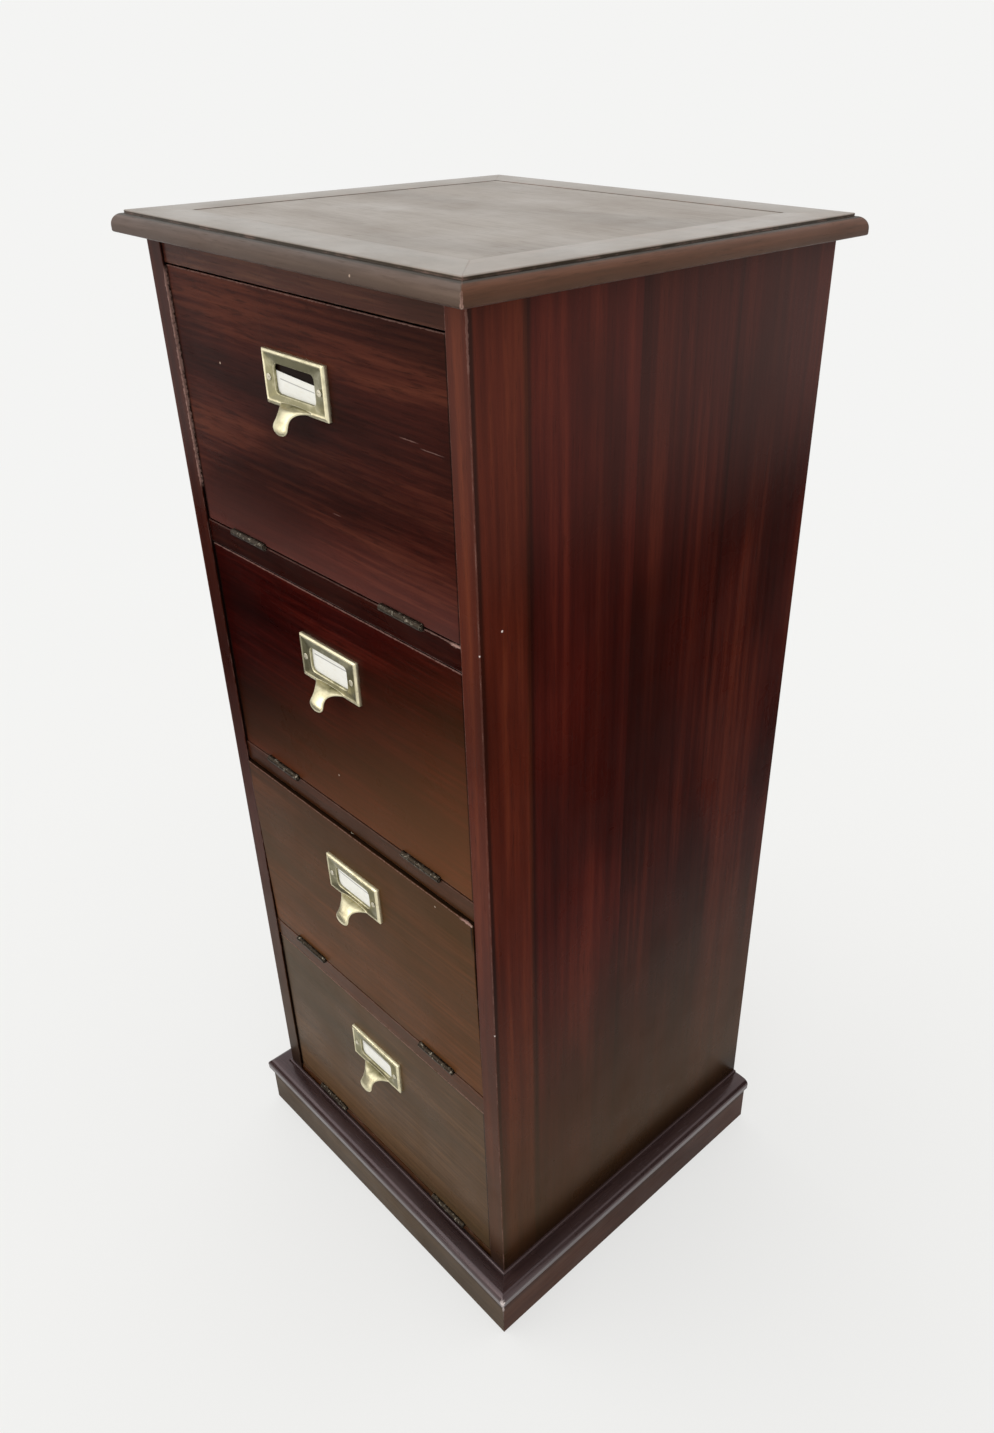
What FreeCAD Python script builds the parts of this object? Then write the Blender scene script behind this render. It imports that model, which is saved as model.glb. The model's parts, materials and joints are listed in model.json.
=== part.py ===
"""Sorting cabinet: a tall mahogany case on a moulded plinth, with four bottom-hinged fall flaps.

Millimetres. X runs to the right along the front, the front faces -Y, Z is up.
The origin is on the floor, under the middle of the whole footprint: pieces are worked out about
the middle of the carcass and moved to it as they are saved.
"""
import FreeCAD
import Part
import math
import os
from FreeCAD import Vector

# Carcass
body_width = 388.0
body_depth = 376.0
side_thickness = 20.0
carcass_top = 1000.0
side_foot_gap = 3.0
front_recess = 2.0
housing_depth = 8.0
back_thickness = 10.0
back_rebate = 10.0
back_board_count = 4
back_board_gap = 0.6
back_clearance = 0.3

# Rails, shelves and bottom board
flap_count = 4
rail_thickness = 20.0
rail_depth = 60.0
shelf_thickness = 12.0
top_rail_height = 20.0
bottom_board_thickness = 20.0
bottom_board_reveal = 6.0

# Plinth
plinth_board_height = 50.0
plinth_board_thickness = 18.0
plinth_back_thickness = 18.0
cap_height = 16.0
cap_nose_overhang = 4.0
cap_nose_radius = 5.5
cap_bead_radius = 1.6
cap_quirk = 1.2
cap_cove_drop = 5.0
glue_block_size = 30.0

# Top
top_thickness = 16.0
top_nose_overhang = 18.5
top_back_overhang = 14.5
top_arris_step = 8.5
top_quirk_depth = 2.4
top_nose_land = 4.5
top_under_round = 1.6
border_face_width = 38.5
panel_rebate_width = 8.0
panel_rebate_depth = 8.0
panel_line_gap = 0.7
panel_sink = 0.4

# Flaps
flap_thickness = 16.0
flap_side_gap = 1.3
flap_top_gap = 1.5
flap_bottom_gap = 1.6
flap_edge_round = 0.8
flap_ajar_deg = {3: 1.0}
stop_block = (30.0, 8.0, 12.0)
stop_block_offset = 110.0
stop_clearance = 0.4

# Hinges
hinge_length = 50.0
hinge_offset = 105.0
hinge_axis_proud = 1.2
hinge_segments = 5
segment_gap = 0.4
knuckle_radius = 2.8
pin_radius = 1.3
pin_clearance = 0.05
pin_head_radius = 1.9
pin_head_height = 0.9
leaf_thickness = 1.2
leaf_reach = 13.0
leaf_let_in = 0.8
knuckle_clearance = 0.35
hinge_screw_pitch = 17.0
hinge_screw_head_radius = 1.9
hinge_screw_head_depth = 0.9
hinge_screw_shank_radius = 0.9
hinge_screw_length = 11.0

# Card frame with its finger pull
frame_width = 80.0
frame_height = 40.0
frame_drop = 62.5
frame_thickness = 3.4
frame_bevel = 1.6
window_width = 52.0
window_height = 22.0
window_bevel = 1.0
card_pocket_depth = 1.0
card_margin = 3.0
card_thickness = 0.5
card_clearance = 0.2
screw_hole_offset = 32.5
pull_root_width = 48.0
pull_neck_width = 21.0
pull_tip_width = 24.0
pull_thickness = 2.6
pull_reach = 20.5
pull_drop = 14.0
pull_rise = 2.0
frame_screw_head_radius = 2.7
frame_screw_head_height = 0.8
frame_screw_shank_radius = 1.2
frame_screw_length = 13.0
screw_slot_width = 0.6
screw_slot_depth = 0.5

# Ball catches
catch_radius = 4.0
catch_length = 12.0
ball_radius = 2.6
ball_proud = 0.8
strike_size = (22.0, 12.0, 1.0)
strike_hole_radius = 2.2

# Sizes that follow
half_width = body_width / 2
half_depth = body_depth / 2
front_face = -half_depth + front_recess
inner_half_width = half_width - side_thickness
plinth_top = plinth_board_height + cap_height
bottom_level = plinth_top + bottom_board_reveal
top_level = carcass_top - top_rail_height
bay_height = (top_level - bottom_level - (flap_count - 1) * rail_thickness) / flap_count
bay_pitch = bay_height + rail_thickness
flap_half_width = inner_half_width - flap_side_gap
flap_height = bay_height - flap_top_gap - flap_bottom_gap
back_inner_face = half_depth - back_thickness
hinge_y = front_face - hinge_axis_proud
cap_reach = plinth_board_thickness + cap_nose_overhang
footprint_shift = (cap_reach - top_back_overhang) / 2


def box(x0, x1, y0, y1, z0, z1):
    """A block from its lowest to its highest corner."""
    return Part.makeBox(x1 - x0, y1 - y0, z1 - z0, Vector(x0, y0, z0))


def rod(radius, length, start, direction):
    """A round bar from a start point along a direction."""
    return Part.makeCylinder(radius, length, start, direction)


def prism(points, direction):
    """A closed outline of points and arcs pushed along a direction."""
    wire = Part.makePolygon(points + [points[0]])
    return Part.Face(wire).extrude(direction)


def arc_points(centre, radius, start_deg, end_deg, steps):
    """Points along an arc, as pairs, from one angle to another."""
    turn = (end_deg - start_deg) / steps
    angles = [math.radians(start_deg + turn * i) for i in range(steps + 1)]
    return [(centre[0] + radius * math.cos(a), centre[1] + radius * math.sin(a)) for a in angles]


def drop_repeats(pairs):
    """The outline without points that repeat the one before."""
    kept = [pairs[0]]
    for pair in pairs[1:]:
        if math.dist(pair, kept[-1]) > 1e-4:
            kept.append(pair)
    return kept


def bay_bottom(number):
    """Height of the surface that a flap's hinges stand on; flap 1 is the highest."""
    return bottom_level + (flap_count - number) * bay_pitch


def bay_top(number):
    """Height of the rail over a flap."""
    return bay_bottom(number) + bay_height


def hinge_z(number):
    """Height of a flap's hinge axis, in the middle of the gap under it."""
    return bay_bottom(number) + flap_bottom_gap / 2


def save(name, shape):
    """Writes one node, moved from the middle of the carcass to the middle of the footprint."""
    shape.translated(Vector(0, footprint_shift, 0)).exportStep("parts/" + name + ".step")


# Mitred mouldings: an outline of (outward, height) pairs carried along one side

def mitred_run(pairs, side, start, end, cut_start, cut_end):
    """A moulding along one side of a rectangle, with mitred or square ends.

    Pairs give the distance out from the carcass face and the height. The run lies along X for
    the front and back and along Y for the left and right, from start to end at the carcass face.
    """
    reach = 80.0
    if side in ("front", "back"):
        sign = -1 if side == "front" else 1
        plane = [Vector(start - reach, sign * (half_depth + o), z) for o, z in pairs]
        run = prism(plane, Vector(end - start + 2 * reach, 0, 0))
    else:
        sign = -1 if side == "left" else 1
        plane = [Vector(sign * (half_width + o), start - reach, z) for o, z in pairs]
        run = prism(plane, Vector(0, end - start + 2 * reach, 0))
    run = run.cut(end_cutter(side, start, -1, cut_start))
    return run.cut(end_cutter(side, end, 1, cut_end))


def end_cutter(side, place, way, mitred):
    """The wedge that trims one end of a run, at 45 degrees through its carcass corner."""
    far = 400.0
    low, high = -10.0, carcass_top + 100.0
    out = -1 if side in ("front", "left") else 1
    face = half_depth if side in ("front", "back") else half_width
    lean = 1.0 if mitred else 0.0
    near_in = (place - way * lean * far, out * (face - far))
    near_out = (place + way * lean * far, out * (face + far))
    far_out = (place + way * 3 * far, out * (face + far))
    far_in = (place + way * 3 * far, out * (face - far))
    corners = [near_in, near_out, far_out, far_in]
    if side in ("left", "right"):
        corners = [(b, a) for a, b in corners]
    base = [Vector(x, y, low) for x, y in corners]
    return prism(base, Vector(0, 0, high - low))


# Top

def top_outline():
    """Section of a border board: flat top, quirk, quarter round, land and rounded under edge."""
    top = carcass_top + top_thickness
    nose = top_nose_overhang
    arris = nose - top_arris_step
    inner = arris - border_face_width
    land_top = carcass_top + top_nose_land
    ovolo_top = top - top_quirk_depth
    ovolo = arc_points((0, 0), 1.0, 90, 0, 8)
    ovolo_width = top_arris_step - 0.6
    ovolo_height = ovolo_top - land_top
    curve = [(nose - ovolo_width + ovolo_width * a, land_top + ovolo_height * b) for a, b in ovolo]
    under = arc_points((nose - top_under_round, carcass_top + top_under_round), top_under_round, 0, -90, 4)
    step = [(inner - panel_rebate_width, carcass_top), (inner - panel_rebate_width, top - panel_rebate_depth),
            (inner, top - panel_rebate_depth), (inner, top), (arris, top), (arris, ovolo_top)]
    return drop_repeats(step + curve + under)


def make_top():
    """Four mitred border boards around a core and a flush panel."""
    front_ends = (-half_width, half_width)
    side_back = half_depth - (top_nose_overhang - top_back_overhang)
    save("top_border_front", mitred_run(top_outline(), "front", *front_ends, True, True))
    save("top_border_left", mitred_run(top_outline(), "left", -half_depth, side_back, True, True))
    save("top_border_right", mitred_run(top_outline(), "right", -half_depth, side_back, True, True))
    save("top_border_back", back_border(side_back))
    inner = half_width - (border_face_width - top_nose_overhang + top_arris_step)
    depth_front = -half_depth + (half_width - inner)
    depth_back = side_back - (half_width - inner)
    under = panel_rebate_width
    ledge = carcass_top + top_thickness - panel_rebate_depth
    core = box(-inner + under, inner - under, depth_front + under, depth_back - under, carcass_top, ledge)
    gap = panel_line_gap
    top = carcass_top + top_thickness - panel_sink
    panel = box(-inner + gap, inner - gap, depth_front + gap, depth_back - gap, ledge, top)
    save("top_core", core)
    save("top_panel", panel)


def back_border(side_back):
    """The back border: the front one's section, turned round and moved to the back overhang."""
    sign_shift = half_depth - side_back
    run = mitred_run(top_outline(), "back", -half_width, half_width, True, True)
    run.translate(Vector(0, -sign_shift, 0))
    return run


# Carcass

def make_side(sign):
    """A side board with housings for the rails and shelves and a rebate for the back."""
    outer = sign * half_width
    inner = sign * inner_half_width
    low, high = min(outer, inner), max(outer, inner)
    board = box(low, high, -half_depth, half_depth, side_foot_gap, carcass_top)
    groove_out = inner + sign * housing_depth
    g0, g1 = min(inner, groove_out), max(inner, groove_out)
    for number in range(1, flap_count):
        top = bay_bottom(number)
        rail_front, rail_back = front_face, front_face + rail_depth
        board = board.cut(box(g0, g1, rail_front, rail_back, top - rail_thickness, top))
        board = board.cut(box(g0, g1, rail_back, half_depth, top - shelf_thickness, top))
    board = board.cut(box(g0, g1, front_face, half_depth, bottom_level - bottom_board_thickness, bottom_level))
    rebate = inner + sign * back_rebate
    r0, r1 = min(inner, rebate), max(inner, rebate)
    return board.cut(box(r0, r1, back_inner_face, half_depth + 1, side_foot_gap - 1, carcass_top + 1))


def knuckle_recess(number, clearance):
    """The round hollows that a flap's two hinge knuckles turn in."""
    hollows = []
    for side in (-1, 1):
        start = Vector(side * hinge_offset - hinge_length / 2 - segment_gap, hinge_y, hinge_z(number))
        length = hinge_length + 2 * segment_gap
        hollows.append(rod(knuckle_radius + clearance, length, start, Vector(1, 0, 0)))
    return hollows


def leaf_recess(number, under_flap):
    """The shallow pockets that the hinge leaves lie in, in the flap or in the board under it."""
    pockets = []
    for side in (-1, 1):
        x0 = side * hinge_offset - hinge_length / 2
        if under_flap:
            z0 = bay_bottom(number) + flap_bottom_gap
            z1 = z0 + leaf_let_in
        else:
            z1 = bay_bottom(number)
            z0 = z1 - leaf_let_in
        y0 = front_face - 1.0
        pockets.append(box(x0, x0 + hinge_length, y0, front_face + leaf_reach, z0, z1))
    return pockets


def screw_spots(number):
    """Centres of the hinge screws, seen from above, for one flap's two hinges."""
    spots = []
    for side in (-1, 1):
        for step in (-1, 0, 1):
            depth = front_face + leaf_reach * (0.45 if step else 0.7)
            spots.append((side * hinge_offset + step * hinge_screw_pitch, depth))
    return spots


def cut_all(shape, tools):
    """The shape with every tool taken out of it."""
    for tool in tools:
        shape = shape.cut(tool)
    return shape


def screw_holes(number, upward):
    """Holes for the hinge screws' shanks, up into the flap or down into the board."""
    holes = []
    for x, y in screw_spots(number):
        if upward:
            start = Vector(x, y, bay_bottom(number) + flap_bottom_gap)
            way = Vector(0, 0, 1)
        else:
            start = Vector(x, y, bay_bottom(number))
            way = Vector(0, 0, -1)
        holes.append(rod(hinge_screw_shank_radius, hinge_screw_length, start, way))
    return holes


def strike_pocket(number):
    """The pocket for a strike plate, in the underside of the rail over a flap."""
    length, width, thick = strike_size
    y = front_face + flap_thickness / 2
    top = bay_top(number)
    pocket = box(-length / 2, length / 2, y - width / 2, y + width / 2, top, top + thick)
    dimple = rod(strike_hole_radius, 4.0, Vector(0, y, top), Vector(0, 0, 1))
    return [pocket, dimple]


def make_rails():
    """The front rails that show between the flaps, and the shelf boards behind them."""
    half = inner_half_width + housing_depth
    for number in range(1, flap_count):
        top = bay_bottom(number)
        rail = box(-half, half, front_face, front_face + rail_depth, top - rail_thickness, top)
        tools = knuckle_recess(number, knuckle_clearance) + leaf_recess(number, False)
        tools += screw_holes(number, False) + strike_pocket(number + 1)
        save("rail_%d" % number, cut_all(rail, tools))
        shelf = box(-half, half, front_face + rail_depth, back_inner_face, top - shelf_thickness, top)
        save("shelf_%d" % number, shelf)


def make_carcass():
    """Sides, bottom, top rails, back boards and the small blocks inside."""
    save("side_left", make_side(-1))
    save("side_right", make_side(1))
    half = inner_half_width + housing_depth
    low = bottom_level - bottom_board_thickness
    bottom = box(-half, half, front_face, back_inner_face, low, bottom_level)
    tools = knuckle_recess(flap_count, knuckle_clearance) + leaf_recess(flap_count, False)
    save("bottom_board", cut_all(bottom, tools + screw_holes(flap_count, False)))
    inner = inner_half_width
    front = box(-inner, inner, front_face, front_face + rail_depth, top_level, carcass_top)
    save("top_rail_front", cut_all(front, strike_pocket(1)))
    back = box(-inner, inner, back_inner_face - rail_depth, back_inner_face, top_level, carcass_top)
    save("top_rail_back", back)
    save("back_boards", make_back())
    make_rails()
    save("flap_stops", make_stops())


def make_back():
    """Upright boards that close the back, a hair apart, let into the sides' rebates."""
    half = inner_half_width + back_rebate - back_clearance
    width = (2 * half - (back_board_count - 1) * back_board_gap) / back_board_count
    low = bottom_level - bottom_board_thickness
    boards = []
    for i in range(back_board_count):
        x0 = -half + i * (width + back_board_gap)
        boards.append(box(x0, x0 + width, back_inner_face, half_depth, low, carcass_top))
    return Part.makeCompound(boards)


def make_stops():
    """Two blocks behind the top of each flap, glued under the rail, that it closes against."""
    wide, deep, high = stop_block
    y0 = front_face + flap_thickness + stop_clearance
    blocks = []
    for number in range(1, flap_count + 1):
        for side in (-1, 1):
            x = side * stop_block_offset
            blocks.append(box(x - wide / 2, x + wide / 2, y0, y0 + deep, bay_top(number) - high, bay_top(number)))
    return Part.makeCompound(blocks)


# Plinth

def cap_outline():
    """Section of the plinth cap: bead and quirk at the case, a cove, then a round nose."""
    base = plinth_board_height
    top = plinth_top
    bead = [(0.0, base), (0.0, top)]
    bead += arc_points((cap_bead_radius, top - cap_bead_radius), cap_bead_radius, 90, 0, 5)
    quirk_x = 2 * cap_bead_radius
    nose_centre = (cap_reach - cap_nose_radius, base + 1.5 + cap_nose_radius)
    cove_start = (quirk_x + cap_quirk, top - cap_bead_radius - cap_quirk)
    cove_end = (nose_centre[0] - cap_nose_radius * 0.6, nose_centre[1] + cap_nose_radius * 0.8)
    cove = []
    for i in range(7):
        t = i / 6
        sag = cap_cove_drop * 0.28 * math.sin(math.pi * t)
        x = cove_start[0] + (cove_end[0] - cove_start[0]) * t
        cove.append((x, cove_start[1] + (cove_end[1] - cove_start[1]) * t - sag))
    nose = arc_points(nose_centre, cap_nose_radius, 127, -60, 12)
    foot = [(plinth_board_thickness, base + 0.8), (plinth_board_thickness, base)]
    quirk = [(quirk_x, top - 2 * cap_bead_radius)]
    return drop_repeats(bead + quirk + cove + nose + foot)


def board_outline():
    """Section of a plinth board."""
    t, h = plinth_board_thickness, plinth_board_height
    return [(0.0, 0.0), (0.0, h), (t, h), (t, 0.0)]


def make_plinth():
    """Boards planted round the foot of the case, their caps, the back board and glue blocks."""
    ends = {"front": (-half_width, half_width, True, True),
            "left": (-half_depth, half_depth, True, False),
            "right": (-half_depth, half_depth, True, False)}
    for side, run in ends.items():
        save("plinth_" + side, mitred_run(board_outline(), side, *run))
        save("plinth_cap_" + side, mitred_run(cap_outline(), side, *run))
    inner = inner_half_width
    low = bottom_level - bottom_board_thickness
    back = box(-inner, inner, back_inner_face - plinth_back_thickness, back_inner_face, 0, low)
    save("plinth_back", back)
    save("glue_blocks", make_glue_blocks(low))


def make_glue_blocks(low):
    """Three-cornered blocks in the corners under the bottom board."""
    size = glue_block_size
    blocks = []
    for sx in (-1, 1):
        x = sx * inner_half_width
        front, back = -half_depth, back_inner_face - plinth_back_thickness
        for y, sy in ((front, 1), (back, -1)):
            corner = [Vector(x, y, side_foot_gap), Vector(x - sx * size, y, side_foot_gap),
                      Vector(x, y + sy * size, side_foot_gap)]
            blocks.append(prism(corner, Vector(0, 0, low - side_foot_gap)))
    return Part.makeCompound(blocks)


# Hinges

def hinge_leaf(number, side, moving):
    """One leaf with its knuckles; the fixed leaf has the outer ones."""
    x0 = side * hinge_offset - hinge_length / 2
    axis_z = hinge_z(number)
    if moving:
        z0 = bay_bottom(number) + flap_bottom_gap + leaf_let_in - leaf_thickness
    else:
        z0 = bay_bottom(number) - leaf_let_in
    segment = hinge_length / hinge_segments
    leaf = box(x0, x0 + hinge_length, hinge_y, front_face + leaf_reach, z0, z0 + leaf_thickness)
    for i in range(hinge_segments):
        own = (i % 2 == 1) == moving
        start = x0 + i * segment
        if own:
            gap = segment_gap / 2
            first = start + (gap if i > 0 else 0)
            last = start + segment - (gap if i < hinge_segments - 1 else 0)
            leaf = leaf.fuse(rod(knuckle_radius, last - first, Vector(first, hinge_y, axis_z), Vector(1, 0, 0)))
        else:
            away = rod(knuckle_radius + knuckle_clearance, segment + segment_gap,
                       Vector(start - segment_gap / 2, hinge_y, axis_z), Vector(1, 0, 0))
            leaf = leaf.cut(away)
    bore = rod(pin_radius + pin_clearance, hinge_length + 2, Vector(x0 - 1, hinge_y, axis_z), Vector(1, 0, 0))
    leaf = leaf.cut(bore)
    for x, y in screw_spots(number):
        if abs(x - side * hinge_offset) > hinge_length / 2:
            continue
        leaf = leaf.cut(screw_seat(x, y, number, moving))
    return leaf.removeSplitter()


def screw_seat(x, y, number, moving):
    """The countersunk hole of one hinge screw."""
    face, way = screw_face(number, moving)
    cone = Part.makeCone(hinge_screw_head_radius, hinge_screw_shank_radius, hinge_screw_head_depth,
                         Vector(x, y, face), Vector(0, 0, way))
    hole = rod(hinge_screw_shank_radius, leaf_thickness + 1, Vector(x, y, face), Vector(0, 0, way))
    return cone.fuse(hole)


def screw_face(number, moving):
    """Height of a leaf's open face, and the way its screws go in."""
    if moving:
        return bay_bottom(number) + flap_bottom_gap + leaf_let_in - leaf_thickness, 1
    return bay_bottom(number) - leaf_let_in + leaf_thickness, -1


def hinge_screw(x, y, number, moving):
    """A small countersunk wood screw with a slot."""
    face, way = screw_face(number, moving)
    head = Part.makeCone(hinge_screw_head_radius, hinge_screw_shank_radius, hinge_screw_head_depth,
                         Vector(x, y, face), Vector(0, 0, way))
    shank = rod(hinge_screw_shank_radius, hinge_screw_length - 1, Vector(x, y, face), Vector(0, 0, way))
    screw = head.fuse(shank)
    half = screw_slot_width / 2
    depth = screw_slot_depth * way
    slot = box(x - 3, x + 3, y - half, y + half, min(face, face + depth), max(face, face + depth))
    return screw.cut(slot)


def make_pins():
    """The hinge pins, with their small domed heads at both ends."""
    pins = []
    for number in range(1, flap_count + 1):
        for side in (-1, 1):
            x0 = side * hinge_offset - hinge_length / 2
            start = Vector(x0, hinge_y, hinge_z(number))
            pin = rod(pin_radius, hinge_length, start, Vector(1, 0, 0))
            for end, way in ((x0, -1), (x0 + hinge_length, 1)):
                head = Part.makeCone(pin_head_radius, pin_radius * 0.6, pin_head_height,
                                     Vector(end, hinge_y, hinge_z(number)), Vector(way, 0, 0))
                pin = pin.fuse(head)
            pins.append(pin)
    return Part.makeCompound(pins)


def make_fixed_hardware():
    """Everything of the hinges and catches that stays on the case."""
    numbers = range(1, flap_count + 1)
    leaves = [hinge_leaf(n, side, False) for n in numbers for side in (-1, 1)]
    save("hinge_leaves_fixed", Part.makeCompound(leaves))
    save("hinge_pins", make_pins())
    screws = [hinge_screw(x, y, n, False) for n in numbers for x, y in screw_spots(n)]
    save("hinge_screws_fixed", Part.makeCompound(screws))
    strikes = []
    for n in numbers:
        length, width, thick = strike_size
        y = front_face + flap_thickness / 2
        plate = box(-length / 2, length / 2, y - width / 2, y + width / 2, bay_top(n), bay_top(n) + thick)
        strikes.append(plate.cut(rod(strike_hole_radius, thick, Vector(0, y, bay_top(n)), Vector(0, 0, 1))))
    save("catch_strikes", Part.makeCompound(strikes))


# Card frame, in its own place: X across, Y out of the flap is negative, Z up, centred on the plate

def pull_path():
    """The finger pull's middle line, seen from the side, as (outward, height) pairs."""
    root = (frame_thickness / 2, -frame_height / 2 + 1.5)
    tip = (pull_reach, -frame_height / 2 - pull_drop)
    points = []
    for i in range(13):
        t = i / 12
        out = root[0] + (tip[0] - root[0]) * math.sin(t * math.pi / 2) ** 0.9
        drop = (root[1] - tip[1]) * t ** 2.2
        rise = pull_rise * math.sin(math.pi * min(t * 1.6, 1.0))
        points.append((out, root[1] - drop + rise))
    return points


def pull_section():
    """The pull seen from the side: its middle line with half its thickness to each side."""
    line = pull_path()
    upper, lower = [], []
    for i, (out, height) in enumerate(line):
        before, after = line[max(i - 1, 0)], line[min(i + 1, len(line) - 1)]
        dx, dz = after[0] - before[0], after[1] - before[1]
        size = math.hypot(dx, dz)
        half = pull_thickness / 2 * (1 - 0.25 * i / (len(line) - 1))
        upper.append((out - dz / size * half, height + dx / size * half))
        lower.append((out + dz / size * half, height - dx / size * half))
    return upper + lower[::-1]


def pull_plan():
    """The pull seen from the front: wide at its root, waisted, with a round tip."""
    root_z = -frame_height / 2 + 4.0
    waist_z = -frame_height / 2 - pull_drop * 0.45
    tip_centre = -frame_height / 2 - pull_drop + pull_tip_width / 2 - 1.0
    side = []
    for i in range(11):
        t = i / 10
        z = root_z + (waist_z - root_z) * t
        half = pull_neck_width / 2 + (pull_root_width - pull_neck_width) / 2 * (1 - t) ** 2.4
        side.append((half, z))
    tip = arc_points((0, tip_centre), pull_tip_width / 2, -28, -90, 6)
    tip = [(max(x, 0.0), z) for x, z in tip]
    right = side + tip
    left = [(-x, z) for x, z in right[:-1]]
    return right + left[::-1]


def card_frame():
    """A cast plate with a bevelled rim and window, a card pocket behind, and a finger pull."""
    w, h, t = frame_width / 2, frame_height / 2, frame_thickness
    plate = box(-w, w, -t, 0, -h, h)
    rim = [e for e in plate.Edges if all(abs(v.Y + t) < 1e-6 for v in e.Vertexes)]
    plate = plate.makeChamfer(frame_bevel, rim)
    window = box(-window_width / 2, window_width / 2, -t - 1, 1, -window_height / 2, window_height / 2)
    flare = Part.makeLoft([window_wire(-t, window_bevel), window_wire(-t + window_bevel, 0.0)], True)
    plate = plate.cut(window).cut(flare)
    pocket_w = window_width / 2 + card_margin
    pocket_h = window_height / 2 + card_margin
    plate = plate.cut(box(-pocket_w, pocket_w, -card_pocket_depth, 1, -pocket_h, pocket_h))
    section = [Vector(-pull_root_width, -o, z) for o, z in pull_section()]
    tongue = prism(section, Vector(2 * pull_root_width, 0, 0))
    plan = [Vector(x, -2 * pull_reach, z) for x, z in pull_plan()]
    tongue = tongue.common(prism(plan, Vector(0, 2 * pull_reach - 0.4, 0)))
    frame = plate.fuse(tongue).removeSplitter()
    for side in (-1, 1):
        hole = rod(frame_screw_shank_radius + 0.2, t + 2, Vector(side * screw_hole_offset, 1, 0), Vector(0, -1, 0))
        frame = frame.cut(hole)
    return frame


def window_wire(y, grow):
    """The window's outline at one depth."""
    x, z = window_width / 2 + grow, window_height / 2 + grow
    corners = [Vector(-x, y, -z), Vector(x, y, -z), Vector(x, y, z), Vector(-x, y, z)]
    return Part.makePolygon(corners + [corners[0]])


def paper_card():
    """The card in the frame's pocket."""
    x = window_width / 2 + card_margin - card_clearance
    z = window_height / 2 + card_margin - card_clearance
    back = -(card_pocket_depth - card_thickness) / 2
    return box(-x, x, back - card_thickness, back, -z, z)


def frame_screws():
    """The two slotted round-head screws that hold a card frame."""
    screws = []
    for side in (-1, 1):
        base = Vector(side * screw_hole_offset, -frame_thickness, 0)
        head = rod(frame_screw_head_radius, frame_screw_head_height, base, Vector(0, -1, 0))
        rim = [e for e in head.Edges if all(abs(v.Y + frame_thickness + frame_screw_head_height) < 1e-6
                                            for v in e.Vertexes) and e.Length > 1]
        head = head.makeFillet(frame_screw_head_height * 0.6, rim)
        shank = rod(frame_screw_shank_radius, frame_screw_length, base, Vector(0, 1, 0))
        x = side * screw_hole_offset
        outer = -frame_thickness - frame_screw_head_height
        slot = box(x - 4, x + 4, outer, outer + screw_slot_depth, -screw_slot_width / 2, screw_slot_width / 2)
        screws.append(head.fuse(shank).cut(slot))
    return Part.makeCompound(screws)


# Flaps

def flap_board(number):
    """One fall flap, with its hinge pockets, catch hole and screw holes."""
    z0 = bay_bottom(number) + flap_bottom_gap
    z1 = z0 + flap_height
    board = box(-flap_half_width, flap_half_width, front_face, front_face + flap_thickness, z0, z1)
    face_edges = [e for e in board.Edges if all(abs(v.Y - front_face) < 1e-6 for v in e.Vertexes)]
    board = board.makeFillet(flap_edge_round, face_edges)
    tools = knuckle_recess(number, knuckle_clearance) + leaf_recess(number, True)
    tools += screw_holes(number, True)
    y = front_face + flap_thickness / 2
    tools.append(rod(catch_radius, catch_length, Vector(0, y, z1 - catch_length), Vector(0, 0, 1)))
    for side in (-1, 1):
        start = Vector(side * screw_hole_offset, front_face, z1 + flap_top_gap - frame_drop)
        depth = frame_screw_length - frame_thickness
        tools.append(rod(frame_screw_shank_radius, depth, start, Vector(0, 1, 0)))
    return cut_all(board, tools)


def ball_catch(number):
    """A sleeve let into the flap's top edge, with its sprung ball."""
    y = front_face + flap_thickness / 2
    top = bay_top(number) - flap_top_gap
    centre = top + ball_proud - ball_radius
    sleeve = rod(catch_radius, catch_length, Vector(0, y, top - catch_length), Vector(0, 0, 1))
    seat = ball_radius + 0.1
    sleeve = sleeve.cut(rod(seat, catch_length - 2, Vector(0, y, top - catch_length + 2), Vector(0, 0, 1)))
    ball = Part.makeSphere(ball_radius, Vector(0, y, centre))
    return Part.makeCompound([sleeve, ball])


def make_flap(number):
    """A flap and all that rides on it, turned to where it stands at rest."""
    frame_z = bay_top(number) - frame_drop
    place = Vector(0, front_face, frame_z)
    pieces = {"flap_%d": flap_board(number), "card_frame_%d": card_frame(), "card_%d": paper_card(),
              "frame_screws_%d": frame_screws(), "ball_catch_%d": ball_catch(number)}
    leaves = [hinge_leaf(number, side, True) for side in (-1, 1)]
    screws = [hinge_screw(x, y, number, True) for x, y in screw_spots(number)]
    pieces["hinge_leaves_%d"] = Part.makeCompound(leaves)
    pieces["hinge_screws_%d"] = Part.makeCompound(screws)
    for name, piece in pieces.items():
        if name in ("card_frame_%d", "card_%d", "frame_screws_%d"):
            piece.translate(place)
        ajar = flap_ajar_deg.get(number, 0.0)
        if ajar:
            piece.rotate(Vector(0, hinge_y, hinge_z(number)), Vector(1, 0, 0), ajar)
        save(name % number, piece)


os.makedirs("parts", exist_ok=True)
make_top()
make_carcass()
make_plinth()
make_fixed_hardware()
for flap_number in range(1, flap_count + 1):
    make_flap(flap_number)
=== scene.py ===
"""Looks of the sorting cabinet: polished mahogany, cast brass card frames, worn hinges, paper cards."""
import json
from functools import reduce

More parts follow.
